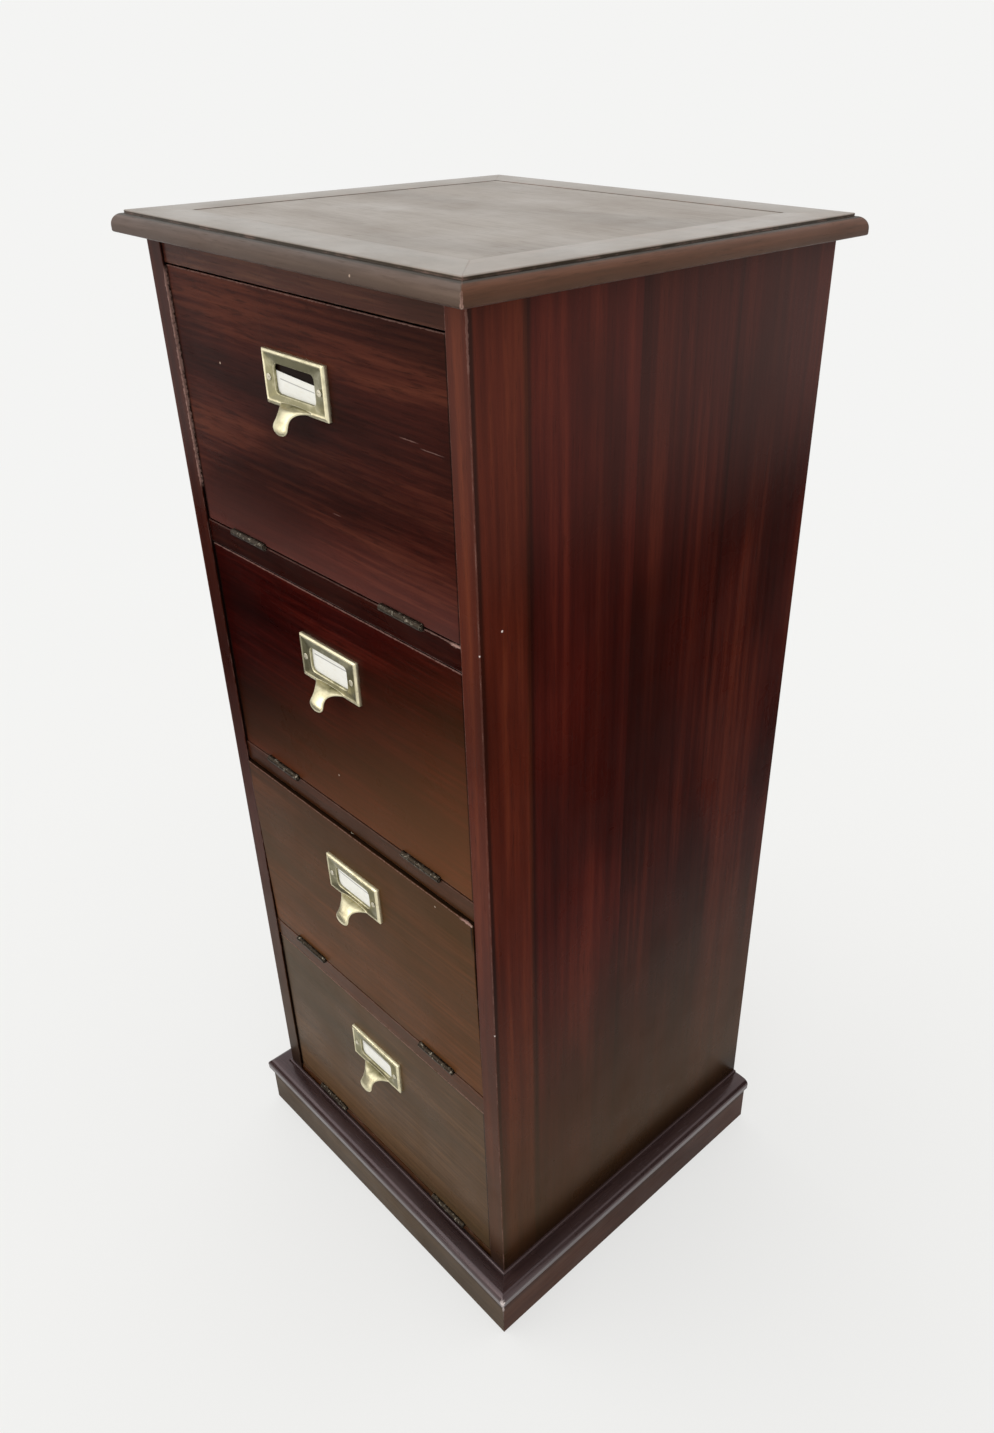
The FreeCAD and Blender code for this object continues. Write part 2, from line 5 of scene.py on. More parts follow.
import bmesh
import bpy
import numpy as np
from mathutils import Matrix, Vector


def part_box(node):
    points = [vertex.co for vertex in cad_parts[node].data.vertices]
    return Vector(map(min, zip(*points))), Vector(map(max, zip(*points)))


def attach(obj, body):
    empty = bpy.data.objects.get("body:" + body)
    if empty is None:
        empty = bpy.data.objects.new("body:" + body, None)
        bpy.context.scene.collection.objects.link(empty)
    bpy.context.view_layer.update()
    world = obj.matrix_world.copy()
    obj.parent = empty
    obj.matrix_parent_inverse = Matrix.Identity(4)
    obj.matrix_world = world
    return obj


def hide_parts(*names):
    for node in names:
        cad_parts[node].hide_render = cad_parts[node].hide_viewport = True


bl_info = {
    "name": "Sorting cabinet looks",
    "version": (1, 0, 0),
    "blender": (4, 5, 0),
    "location": "3D View > Sidebar > Cabinet",
    "description": "Dresses the sorting cabinet in polished wood, brass and paper",
    "category": "Object",
}

MM = 0.001
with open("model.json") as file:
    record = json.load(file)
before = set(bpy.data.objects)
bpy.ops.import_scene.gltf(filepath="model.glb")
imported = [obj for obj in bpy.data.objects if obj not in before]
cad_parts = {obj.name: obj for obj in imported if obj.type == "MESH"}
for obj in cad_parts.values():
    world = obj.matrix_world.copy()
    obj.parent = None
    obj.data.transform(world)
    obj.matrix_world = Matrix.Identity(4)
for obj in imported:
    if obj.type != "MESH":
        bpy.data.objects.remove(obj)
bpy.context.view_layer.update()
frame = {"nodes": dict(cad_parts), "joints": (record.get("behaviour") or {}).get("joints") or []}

# Sizes that the frame doesn't give
FLAPS = (1, 2, 3, 4)
SIDE_THICKNESS = 20.0 * MM
FRAME_HALF_HEIGHT = 20.0 * MM
WINDOW_HALF = (26.0 * MM, 11.0 * MM)
PULL_ROOT, PULL_REACH, PULL_DROP = 48.0 * MM, 20.5 * MM, 14.0 * MM

# Places read from the frame
SIDE_LOW, SIDE_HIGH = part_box("side_right")
SIDE_FACE, FRONT_EDGE, BACK_EDGE = SIDE_HIGH[0], SIDE_LOW[1], SIDE_HIGH[1]


def reach_and_heights(name):
    """How far a front piece stands out from the sides' front edges, and its lowest and highest Z."""
    low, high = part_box(name)
    return FRONT_EDGE - low[1], low[2], high[2]


TOP_REACH, TOP_LOW, TOP_HIGH = reach_and_heights("top_border_front")
CAP_REACH, CAP_LOW, CAP_HIGH = reach_and_heights("plinth_cap_front")
FASCIA_REACH = reach_and_heights("plinth_front")[0]


def hinge_place(number):
    """The hinge line and how far its flap leans at rest, in degrees."""
    joint = next(j for j in frame["joints"] if j["name"] == "flap_%d_fall" % number)
    return np.array(joint["pos_m"]), -joint["range_deg"][0]


def frame_middle(number):
    """Middle of a card frame's back face with its flap shut, which for the first flap is its rest place."""
    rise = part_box("card_frame_1")[1][2] - FRAME_HALF_HEIGHT - hinge_place(1)[0][2]
    return np.array([0.0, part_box("flap_1")[0][1], hinge_place(number)[0][2] + rise])


# Sizes and colours that a user would change

def colour(name, words, value):
    """A colour property."""
    return bpy.props.FloatVectorProperty(name=name, description=words, subtype="COLOR", size=3,
                                         min=0.0, max=1.0, default=value)


def length(name, words, value):
    """A length property, in metres."""
    return bpy.props.FloatProperty(name=name, description=words, default=value, unit="LENGTH",
                                   min=0.0, precision=5)


def share(name, words, value):
    """A property from 0 to 1."""
    return bpy.props.FloatProperty(name=name, description=words, default=value, subtype="FACTOR",
                                   min=0.0, max=1.0)


class CabinetWood(bpy.types.PropertyGroup):
    """Colours and polish of the wood."""
    dark: colour("Dark grain", "Darkest streaks of the mahogany", (0.016, 0.0019, 0.0013))
    middle: colour("Mahogany", "Middle colour of the mahogany", (0.042, 0.0056, 0.0033))
    light: colour("Light grain", "Lightest streaks of the mahogany", (0.092, 0.0175, 0.0085))
    # The faded colour is faded wood and partly a painted reflection of the bright surround on the top faces
    faded: colour("Faded top", "Colour of the dry, faded top", (0.39, 0.36, 0.325))
    worn: colour("Worn edge", "Colour of arrises rubbed pale", (0.42, 0.25, 0.21))
    varnish: colour("Varnish", "Warm tint of the shine", (1.0, 0.72, 0.45))
    roughness: share("Polish roughness", "Roughness of the French polish", 0.30)
    gloss: share("Gloss", "Specular level of the French polish", 0.09)
    wear: share("Edge wear", "How much the arrises are rubbed", 0.55)
    arris: length("Arris", "Radius that sharp edges are softened to in shading", 1.1 * MM)


class CabinetBrass(bpy.types.PropertyGroup):
    """Sizes and colours of the card frames."""
    clean: colour("Brass", "Rubbed brass", (0.84, 0.77, 0.53))
    dull: colour("Dull brass", "Tarnish in the hollows", (0.205, 0.190, 0.095))
    rim_height: length("Rim height", "How far the outer rim stands out of the flap", 4.0 * MM)
    field_height: length("Field height", "How far the flat round the window stands out", 3.3 * MM)
    bevel: length("Bevel", "Width of the slope outside the rim", 1.7 * MM)
    window_corner: length("Window corner", "Radius of the window's corners", 4.5 * MM)
    waist: length("Waist", "Width of the pull at its narrowest", 15.5 * MM)
    tip: length("Tip", "Width of the pull near its tip", 18.5 * MM)


class CabinetCards(bpy.types.PropertyGroup):
    """Sizes and colours of the cards."""
    paper: colour("Paper", "Colour of the cards", (0.98, 0.97, 0.91))
    ink: colour("Ink", "Colour of the ruled lines", (0.05, 0.05, 0.07))
    thickness: length("Thickness", "Thickness of a card", 0.35 * MM)


class CabinetStage(bpy.types.PropertyGroup):
    """Floor, light and camera."""
    floor: colour("Floor", "Colour of the floor", (0.88, 0.88, 0.865))
    sky: colour("Surround", "Colour of the soft light all round", (0.905, 0.905, 0.895))
    lift: share("Floor lift", "How much of the floor's shadow is filled with white", 0.68)
    sun: bpy.props.FloatProperty(name="Key light", description="Strength of the soft key light",
                                 default=0.55, min=0.0)
    lens: bpy.props.FloatProperty(name="Lens", description="Focal length in millimetres",
                                  default=40.31, min=1.0)


# Mesh helpers

def make_mesh(name, points, faces, smooth_deg=35.0):
    """A mesh object at the origin from an array of points and a list of faces."""
    mesh = bpy.data.meshes.new(name)
    mesh.from_pydata(np.asarray(points, float).reshape(-1, 3).tolist(), [], faces)
    mesh.validate()
    mesh.polygons.foreach_set("use_smooth", np.ones(len(mesh.polygons), bool))
    mesh.set_sharp_from_angle(angle=np.radians(smooth_deg))
    mesh.update()
    piece = bpy.data.objects.new(name, mesh)
    bpy.context.scene.collection.objects.link(piece)
    return piece


def grid_faces(rows, columns, closed_rows=False, closed_columns=False, start=0, flip=False):
    """Four-sided faces of a grid of rows by columns, joined round where it is closed."""
    r = np.arange(rows if closed_rows else rows - 1)
    c = np.arange(columns if closed_columns else columns - 1)
    rr, cc = np.meshgrid(r, c, indexing="ij")
    r1, c1 = (rr + 1) % rows, (cc + 1) % columns
    quads = np.stack([rr * columns + cc, rr * columns + c1, r1 * columns + c1, r1 * columns + cc], -1)
    quads = quads.reshape(-1, 4) + start
    if flip:
        quads = quads[:, ::-1]
    return quads.tolist()


def tube_faces(rows, columns):
    """Faces of a grid that is closed round its columns, with one face over each end."""
    last = (rows - 1) * columns
    ends = [list(range(columns))[::-1], list(range(last, last + columns))]
    return grid_faces(rows, columns, closed_columns=True) + ends


def point_outwards(piece):
    """Makes a piece's faces point outwards, shell by shell."""
    shell = bmesh.new()
    shell.from_mesh(piece.data)
    bmesh.ops.recalc_face_normals(shell, faces=shell.faces)
    shell.to_mesh(piece.data)
    shell.free()


def turn_about(points, pivot, degrees):
    """Points turned about a line along X through a pivot."""
    c, s = np.cos(np.radians(degrees)), np.sin(np.radians(degrees))
    return pivot + (points - pivot) @ np.array([(1, 0, 0), (0, c, s), (0, -s, c)])


def arc(centre, radius, start_deg, end_deg, steps):
    """Points along an arc: its centre plus the cosine and sine times its radius, or an ellipse's two."""
    a = np.radians(np.linspace(start_deg, end_deg, steps))
    return np.add(centre, np.multiply(radius, np.stack([np.cos(a), np.sin(a)], -1)))


def stand_for(piece, node_name, body, material):
    """Puts a new piece in a CAD node's stead."""
    piece.data.materials.append(material)
    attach(piece, body)
    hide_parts(node_name)


def set_finish(material, *names):
    """Gives CAD nodes a material."""
    for name in names:
        for slot in frame["nodes"][name].material_slots:
            slot.material = material


# Node helpers

def feed(made, links):
    """Sets or links a node's inputs by name or number."""
    for key, value in links.items():
        if isinstance(value, bpy.types.NodeSocket):
            made.id_data.links.new(value, made.inputs[key])
        else:
            made.inputs[key].default_value = value


def node(kind, links, owner=None, **settings):
    """A node with its settings and inputs, in the tree of its owner or else of a linked socket."""
    owner = owner or next(v for v in links.values() if isinstance(v, bpy.types.NodeSocket))
    made = owner.id_data.nodes.new(kind)
    for key, value in settings.items():
        setattr(made, key, value)
    feed(made, links)
    return made


def calc(operation, a, b=0.0, c=0.0, clamp=False):
    """A sum on numbers, by the operation's name."""
    return node("ShaderNodeMath", {0: a, 1: b, 2: c}, operation=operation, use_clamp=clamp).outputs[0]


def times(*values):
    """The product of several numbers."""
    return reduce(lambda a, b: calc("MULTIPLY", a, b), values)


def largest(*masks):
    """The largest of several masks."""
    return reduce(lambda a, b: calc("MAXIMUM", a, b), masks)


def away_from(value, middle):
    """How far a number lies from a middle one."""
    return calc("ABSOLUTE", calc("SUBTRACT", value, middle))


def ramp(value, low, high, out_low=0.0, out_high=1.0, smooth=False):
    """A value carried from one range to another, held at its ends."""
    made = node("ShaderNodeMapRange", {0: value, 1: low, 2: high, 3: out_low, 4: out_high},
                interpolation_type="SMOOTHSTEP" if smooth else "LINEAR", clamp=True)
    return made.outputs[0]


def fall(value, low, high, top=1.0, smooth=False):
    """A mask that is full below a range and falls to nothing across it."""
    return ramp(value, low, high, top, 0.0, smooth)


def blend(factor, a, b, mode="MIX"):
    """Two colours mixed by a factor."""
    a, b = (c if isinstance(c, bpy.types.NodeSocket) else (*c, 1.0) for c in (a, b))
    return node("ShaderNodeMix", {0: factor, 6: a, 7: b}, data_type="RGBA", blend_type=mode).outputs[2]


def layered(base, *layers):
    """A colour with others laid over it in turn, each given as its mask and itself."""
    for mask, tone in layers:
        base = blend(mask, base, tone)
    return base


def scaled(tone, factor):
    """A colour times a factor."""
    return [factor * c for c in tone]


def noise(vector, scale, detail=3.0, rough=0.5, distortion=0.0):
    """A cloud pattern from 0 to 1."""
    return node("ShaderNodeTexNoise", {"Vector": vector, "Scale": scale, "Detail": detail,
                                       "Roughness": rough, "Distortion": distortion}).outputs[0]


def split(vector):
    """The three parts of a vector."""
    return node("ShaderNodeSeparateXYZ", {0: vector}).outputs


def join(x, y, z):
    """A vector from three numbers."""
    return node("ShaderNodeCombineXYZ", {0: x, 1: y, 2: z}).outputs[0]


def distance(place, point):
    """The distance between two places."""
    return node("ShaderNodeVectorMath", {0: place, 1: point}, operation="DISTANCE").outputs["Value"]


def start_material(name):
    """A new material with an empty tree, its main shader and its output."""
    material = bpy.data.materials.new(name)
    material.use_nodes = True
    material.node_tree.nodes.clear()
    shader = node("ShaderNodeBsdfPrincipled", {}, material.node_tree)
    output = node("ShaderNodeOutputMaterial", {0: shader.outputs[0]})
    output.location = (400, 0)
    return material, shader, output


def object_place(owner):
    """The surface's place in its own object, in metres."""
    return node("ShaderNodeTexCoord", {}, owner).outputs["Object"]


def soft_normal(owner, radius):
    """The normal with arrises softened to a radius."""
    return node("ShaderNodeBevel", {"Radius": radius}, owner, samples=4).outputs[0]


def edge_mask(soft, sharpness):
    """1 on arrises and 0 on flats: how far the softened normal leaves the true one."""
    true = node("ShaderNodeNewGeometry", {}, soft).outputs["True Normal"]
    dot = node("ShaderNodeVectorMath", {0: soft, 1: true}, operation="DOT_PRODUCT").outputs["Value"]
    return calc("MULTIPLY", calc("SUBTRACT", 1.0, dot), sharpness, clamp=True)


def set_surface(shader, tone, rough, relief, strength, depth, normal=None, **plain):
    """Links a shader's colour, roughness and relief, and sets its other inputs.

    The relief's depth is in metres. An input's name is given with _ for each space.
    """
    links = {"Height": relief, "Strength": strength, "Distance": depth}
    if normal:
        links["Normal"] = normal
    bump = node("ShaderNodeBump", links)
    feed(shader, {"Base Color": tone, "Roughness": rough, "Normal": bump.outputs[0]})
    feed(shader, {key.replace("_", " "): value for key, value in plain.items()})


def spots(place, centres, radius, lumpy):
    """1 inside small lumpy spots about the given places, which are small chips in the polish."""
    reaches = [calc("MULTIPLY_ADD", lumpy, radius, distance(place, centre)) for centre in centres]
    return largest(*[ramp(reach, radius * 1.5, radius * 1.1) for reach in reaches])


def rub_lines(place, lines, lumpy):
    """1 along worn stretches of arrises: each is a start, an end, a width and a strength.

    Each stretch runs along one axis, and the distance from it leaves out the place's own part
    along that axis. A cloud pattern breaks up its width.
    """
    masks = []
    soft = 3.0 * MM
    for start, end, width, strength in lines:
        axis = int(np.argmax(np.abs(np.subtract(end, start))))
        flat = [float(i != axis) for i in range(3)]
        pressed = node("ShaderNodeVectorMath", {0: place, 1: flat}, operation="MULTIPLY").outputs[0]
        off_line = distance(pressed, [start[i] * flat[i] for i in range(3)])
        ragged = calc("MULTIPLY_ADD", lumpy, -2.2 * width, calc("ADD", off_line, 1.1 * width))
        along = split(place)[axis]
        low, high = sorted((start[axis], end[axis]))
        masks.append(times(fall(ragged, width * 0.5, width, strength), ramp(along, low - soft, low + soft),
                           fall(along, high - soft, high + soft)))
    return largest(*masks)


# Wood

def along_grain(place, grain):
    """The place's parts along the grain, across it in the board's face, and through the board."""
    first, second = ("xyz".index(letter) for letter in grain)
    parts = split(place)
    return parts[first], parts[second], parts[3 - first - second]


def mahogany(name, grain, seed, chips=(), rubs=(), extra=None, **settings):
    """Polished mahogany with its grain along one axis, given with the axis across its face.

    Broad ribbons, fine streaks, short flecks and pores are cloud patterns drawn out along the
    grain. The first two mix dark, middle and light wood, and flecks and pores darken it. Streaks
    and pores also set the relief, and pores and wear the roughness. Arrises are rubbed pale in
    patches.
    """
    wood = bpy.context.scene.cabinet_wood
    use = {"ribbon": 34.0, "ribbon_share": 0.55, "wave": 0.006, "fine": 330.0, "fleck": 0.45,
           "cloudy": 0.6, "tones": (wood.dark, wood.middle, wood.light), "tint": (1.0, 1.0, 1.0),
           "gloss": wood.gloss, "roughness": wood.roughness, "wear": wood.wear, "bare": wood.worn,
           "chip": (0.42, 0.31, 0.24), "varnish": wood.varnish, "arris": wood.arris, **settings}
    material, shader, _ = start_material(name)
    place = object_place(shader)
    along, across, through = along_grain(place, grain)
    wave = noise(join(times(along, 0.5), across, through), 7.0, 2.0)
    across = calc("ADD", across, times(calc("SUBTRACT", wave, 0.5), 2.0 * use["wave"]))

    def drawn_out(factor, *look):
        """A cloud pattern drawn out along the grain."""
        return noise(join(calc("MULTIPLY_ADD", along, factor, seed), across, through), *look)

    ribbon = drawn_out(0.02, use["ribbon"], 2.0)
    streak = drawn_out(0.03, use["fine"])
    fleck = drawn_out(0.10, 330.0, 3.0, 0.6, 0.3)
    pores = ramp(drawn_out(0.05, 950.0, 2.0), 0.62, 0.72)
    cloud = drawn_out(0.35, 11.0, 2.0)
    tone = calc("ADD", ramp(ribbon, 0.34, 0.66, 0.0, use["ribbon_share"]),
                ramp(streak, 0.3, 0.7, 0.0, 1.0 - use["ribbon_share"]))
    tone = calc("MULTIPLY_ADD", calc("SUBTRACT", cloud, 0.5), use["cloudy"], tone, clamp=True)
    dark, middle, light = ([c * t for c, t in zip(value, use["tint"])] for value in use["tones"])
    deep = fall(cloud, 0.36, 0.52, 0.55 * use["cloudy"], smooth=True)
    base = layered(dark, (ramp(tone, 0.0, 0.5), middle), (ramp(tone, 0.5, 1.0), light),
                   (ramp(fleck, 0.5, 0.68, 0.0, use["fleck"]), dark),
                   (times(pores, 0.5), scaled(dark, 0.6)), (deep, scaled(dark, 0.5)))
    if extra:
        base = extra(place, base)
    normal = soft_normal(shader, use["arris"])
    patches = noise(place, 60.0, 3.0, 0.65)
    wear = times(edge_mask(normal, 9.0), ramp(patches, 0.46, 0.66, 0.0, use["wear"]))
    lumps = noise(place, 420.0, 3.0, 0.65)
    if rubs:
        wear = largest(wear, rub_lines(place, rubs, lumps))
    base = blend(wear, base, use["bare"])
    if chips:
        base = blend(spots(place, chips, 1.1 * MM, lumps), base, use["chip"])
    smear = noise(place, 14.0, 3.0, 0.6)
    rough = ramp(smear, 0.3, 0.7, use["roughness"] - 0.07, use["roughness"] + 0.09)
    rough = calc("MULTIPLY_ADD", wear, 0.25, calc("MULTIPLY_ADD", pores, 0.12, rough), clamp=True)
    relief = calc("MULTIPLY_ADD", pores, -0.6, times(streak, 0.5))
    relief = calc("ADD", noise(place, 9.0, 1.0), relief)
    set_surface(shader, base, rough, relief, 0.35, 0.12 * MM, normal, IOR=1.48,
                Specular_IOR_Level=use["gloss"], Specular_Tint=(*use["varnish"], 1.0))
    return material


def plain_wood(name, grain, seed, pale, deep):
    """Unpolished inner wood: streaks along the grain, dry and rough."""
    material, shader, _ = start_material(name)
    place = object_place(shader)
    along, across, through = along_grain(place, grain)
    drawn = join(calc("MULTIPLY_ADD", along, 0.03, seed), across, through)
    broad = noise(drawn, 60.0, 4.0, 0.6, 0.4)
    fine = noise(drawn, 500.0, 3.0, 0.6)
    stains = noise(place, 7.0, 3.0, 0.6)
    base = layered(deep, (ramp(broad, 0.3, 0.7), pale), (ramp(fine, 0.5, 0.75, 0.0, 0.45), deep),
                   (ramp(stains, 0.55, 0.8, 0.0, 0.5), scaled(deep, 0.5)))
    set_surface(shader, base, ramp(fine, 0.3, 0.7, 0.6, 0.85), fine, 0.5, 0.15 * MM,
                soft_normal(shader, 0.7 * MM))
    return material


def painted_floor_reflection(place, base, reflection_haze, top=0.70, lean=0.3, deep=0.28):
    """A painted reflection of the floor: a warm colour added that grows down from its top, higher at the
    left.
    """
    x, _, z = split(place)
    height = calc("MULTIPLY_ADD", x, -lean, z)
    return blend(fall(height, top - deep, top, smooth=True), base, reflection_haze, "ADD")


def flap_tone(number, reflection_haze, reach):
    """Tone of a flap: painted floor reflection towards its foot, painted shade behind its card frame's
    window, along its top edge and at its ends, and a dull back.
    """
    low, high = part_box("flap_%d" % number)
    middle = frame_middle(number)

    def tone(place, base):
        """The tone at a place."""
        x, y, z = split(place)
        from_face = calc("SUBTRACT", y, low[1])
        aside = calc("ABSOLUTE", x)
        base = painted_floor_reflection(place, base, reflection_haze, *reach)
        # Painted shade in the recess seen through the card frame's window
        pocket = fall(from_face, 6.0 * MM, 8.0 * MM, 0.85)
        for value, centre, half in ((x, middle[0], WINDOW_HALF[0]), (z, middle[2], WINDOW_HALF[1])):
            pocket = times(pocket, fall(away_from(value, centre), half + 0.5 * MM, half + 2.0 * MM))
        # Painted shade along the top edge, where the gap above the flap falls dark
        top_edge_shade = times(ramp(z, high[2] - 1.2 * MM, high[2] - 0.5 * MM, 0.0, 0.9),
                         ramp(from_face, 0.9 * MM, 1.6 * MM))
        # Painted shade on the ends and on a strip of the face beside them, for the dark gaps at the stiles
        end = times(ramp(aside, high[0] - 0.5 * MM, high[0] - 0.2 * MM),
                    ramp(from_face, 0.6 * MM, 1.2 * MM, 0.0, 0.85))
        corner = times(ramp(aside, high[0] - 3.2 * MM, high[0] - 1.6 * MM, 0.0, 0.7, smooth=True),
                       fall(from_face, 0.3 * MM, 0.6 * MM))
        behind = ramp(y, high[1] - 1.5 * MM, high[1] - 0.5 * MM, 0.0, 0.65)
        return layered(base, (pocket, (0.006, 0.003, 0.002)), (top_edge_shade, (0.010, 0.005, 0.003)),
                       (largest(end, corner), (0.006, 0.003, 0.002)), (behind, (0.105, 0.052, 0.026)))
    return tone


def glued_boards(place, base, stile):
    """Tone of a side: the boards that it is glued up from, dark joints, a dark band behind its front edge,
    painted reflection of the floor low down and of the bright surround high up, painted shade inside its
    front edge and above the plinth, and its front edge.
    """
    x, y, z = split(place)
    from_front = calc("SUBTRACT", y, FRONT_EDGE)
    joints = (0.048, 0.155, 0.262)
    tones = ((1.7, 2.0, 1.6), (1.2, 1.0, 1.05), (0.85, 0.75, 0.75), (0.95, 0.95, 1.0))
    toned = blend(1.0, base, tones[0], "MULTIPLY")
    for joint, tone in zip(joints, tones[1:]):
        past = ramp(from_front, joint - 0.4 * MM, joint + 0.4 * MM)
        toned = blend(past, toned, blend(1.0, base, tone, "MULTIPLY"))
    for joint, depth in zip(joints, (0.75, 0.3, 0.35)):
        away = away_from(from_front, joint)
        line = fall(away, 0.0, 1.1 * MM, depth)
        if joint == joints[0]:
            line = largest(line, fall(away, 1.0 * MM, 5.5 * MM, 0.6, smooth=True))
        toned = blend(line, toned, (0.004, 0.0015, 0.001))
    band = times(ramp(from_front, 0.6 * MM, 1.2 * MM, 0.0, 0.7),
                 fall(from_front, 3.0 * MM, 6.0 * MM, smooth=True))
    # Painted reflection of the floor: an olive tone growing towards the foot
    olive = fall(z, 0.05, 0.50, 0.8, smooth=True)
    toned = layered(toned, (band, (0.006, 0.002, 0.0015)), (olive, (0.052, 0.026, 0.0075)))
    # Painted reflection of the bright surround, high on the side
    surround_reflection_high = times(ramp(z, 0.76, 0.95, smooth=True), ramp(y, -0.15, 0.15, 0.3, 1.0))
    toned = blend(surround_reflection_high, toned, (0.027, 0.022, 0.021), "ADD")
    inner_face = SIDE_FACE - SIDE_THICKNESS
    inside = fall(calc("ABSOLUTE", x), inner_face + 0.3 * MM, inner_face + 0.8 * MM)
    # Painted shade on the inner face just behind the front edge, inside the case
    inner_gap_shade = times(inside, fall(from_front, 16.0 * MM, 26.0 * MM, 0.9, smooth=True),
                ramp(from_front, 0.5 * MM, 1.2 * MM))
    toned = blend(inner_gap_shade, toned, (0.005, 0.0025, 0.002))
    toned = blend(fall(from_front, 0.3 * MM, 1.0 * MM), toned, blend(1.0, toned, stile, "ADD"))
    # Painted shade: darker towards the plinth cap
    shade_above_plinth = fall(z, CAP_HIGH, CAP_HIGH + 60.0 * MM, 0.75, smooth=True)
    return blend(shade_above_plinth, toned, (0.008, 0.003, 0.002))


def top_fade_and_painted_light(place, base):
    """The top face faded dry and grey, partly a painted reflection of the bright surround, with a dark joint
    round the panel, darker towards the border's under edge, and painted shade in the quirk below its arris.
    """
    wood = bpy.context.scene.cabinet_wood
    x, y, height = split(place)
    mottle = ramp(noise(place, 30.0, 4.0, 0.65), 0.3, 0.7)
    pale = blend(mottle, scaled(wood.faded, 0.86), scaled(wood.faded, 1.12))
    # Top face: faded colour with painted reflection of the bright surround
    over = ramp(height, TOP_HIGH - 1.1 * MM, TOP_HIGH - 0.6 * MM)
    inner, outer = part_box("top_panel")
    middle, half = (inner[1] + outer[1]) / 2, (outer[1] - inner[1]) / 2
    beyond_x = calc("SUBTRACT", calc("ABSOLUTE", x), outer[0])
    beyond_y = calc("SUBTRACT", away_from(y, middle), half)
    seam = fall(calc("ABSOLUTE", largest(beyond_x, beyond_y)), 0.4 * MM, 1.4 * MM, 0.85)
    under = fall(height, TOP_LOW + 1.0 * MM, TOP_LOW + 10.0 * MM, 0.75, smooth=True)
    # Painted shade: a dark line in the quirk below the arris
    quirk = fall(away_from(height, TOP_HIGH - 2.0 * MM), 0.9 * MM, 1.5 * MM, 0.95)
    return layered(base, (over, blend(0.25, pale, base)), (seam, (0.030, 0.022, 0.017)),
                   (under, (0.030, 0.009, 0.005)), (quirk, (0.004, 0.003, 0.002)))


def shade_under_cap(place, base):
    """Painted shade on the plinth boards, darkest just under the cap."""
    dirt_and_shade = ramp(split(place)[2], CAP_LOW - 20.0 * MM, CAP_LOW - 2.0 * MM, 0.0, 0.8, smooth=True)
    return blend(dirt_and_shade, base, (0.026, 0.012, 0.008))


# Mouldings

def top_section():
    """Border board's section as (outward from the case, height): quirk, ovolo, land, under edge.

    The ovolo is a quarter of an ellipse, and the corners are arcs of circles.
    """
    nose, low, high = TOP_REACH, TOP_LOW, TOP_HIGH
    arris = nose - 8.5 * MM
    inner = arris - 38.5 * MM
    ledge_end, ledge = inner - 8.0 * MM, high - 8.0 * MM
    quirk = high - 2.4 * MM
    land = low + 4.5 * MM
    flat = [(ledge_end, low), (ledge_end, ledge), (inner, ledge)]
    edge = arc((inner + 0.3 * MM, high - 0.3 * MM), 0.3 * MM, 180, 90, 3)
    lip = arc((arris - 0.9 * MM, high - 0.9 * MM), 0.9 * MM, 90, 10, 7)
    step = [(arris - 0.2 * MM, quirk + 0.4 * MM), (arris + 0.2 * MM, quirk)]
    ovolo = arc((arris + 0.9 * MM, land), (nose - arris - 0.9 * MM, quirk - land), 90, 0, 16)
    under = arc((nose - 1.6 * MM, low + 1.6 * MM), 1.6 * MM, 0, -90, 8)
    return np.concatenate([flat, edge, lip, step, ovolo, under])


def cap_section():
    """Plinth cap's section: a small bead and quirk at the case, a slope, and a round nose with a foot.

    The slope is a straight line, raised in its middle by half a sine wave.
    """
    reach, low, high, fascia = CAP_REACH, CAP_LOW, CAP_HIGH, FASCIA_REACH
    bead = arc((1.6 * MM, high - 1.6 * MM), 1.6 * MM, 90, -30, 10)
    nose_radius = 6.6 * MM
    nose = arc((reach - nose_radius, low + 0.3 * MM + nose_radius), nose_radius, 84, -12, 20)
    start = np.array([4.2 * MM, high - 2.2 * MM])
    t = np.linspace(0.0, 1.0, 14)[:-1, None]
    slope = start + (nose[0] - start) * t
    slope[:, 1] += 0.25 * MM * np.sin(np.pi * t[:, 0])
    foot = [(reach - 0.3 * MM, low + 0.6 * MM), (fascia, low + 0.6 * MM), (fascia, low)]
    return np.concatenate([[(0.0, low), (0.0, high)], bead, slope, nose, foot])


def mitred_board(place, back, back_out):
    """Two ends and grain of the mitred board at the front, back, left or right of the case.

    Each end is the case's corner there, with the back corners at a given Y, and the outward step.
    """
    left_front, right_front = (((x * SIDE_FACE, FRONT_EDGE), (x, -1)) for x in (-1, 1))
    left_back, right_back = (((x * SIDE_FACE, back), (x, back_out)) for x in (-1, 1))
    boards = {"front": (left_front, right_front, "xy"), "back": (left_back, right_back, "xy"),
              "left": (left_front, left_back, "yx"), "right": (right_front, right_back, "yx")}
    return boards[place]


def mitred_piece(name, section, start, end):
    """A section carried from one mitred end to the other, closed at both by the section itself.

    Each end is a corner and an outward step. A ring's places are its corner plus the section's
    outward distance times its step, so both ends lie in their mitre planes.
    """
    rings = []
    for t in np.linspace(0.0, 1.0, 9):
        corner, out = (np.array(a) * (1 - t) + np.array(b) * t for a, b in zip(start, end))
        rings.append(np.column_stack([corner + section[:, :1] * out, section[:, 1]]))
    points = np.array(rings)
    piece = make_mesh(name, points, tube_faces(*points.shape[:2]), 28.0)
    point_outwards(piece)
    return piece


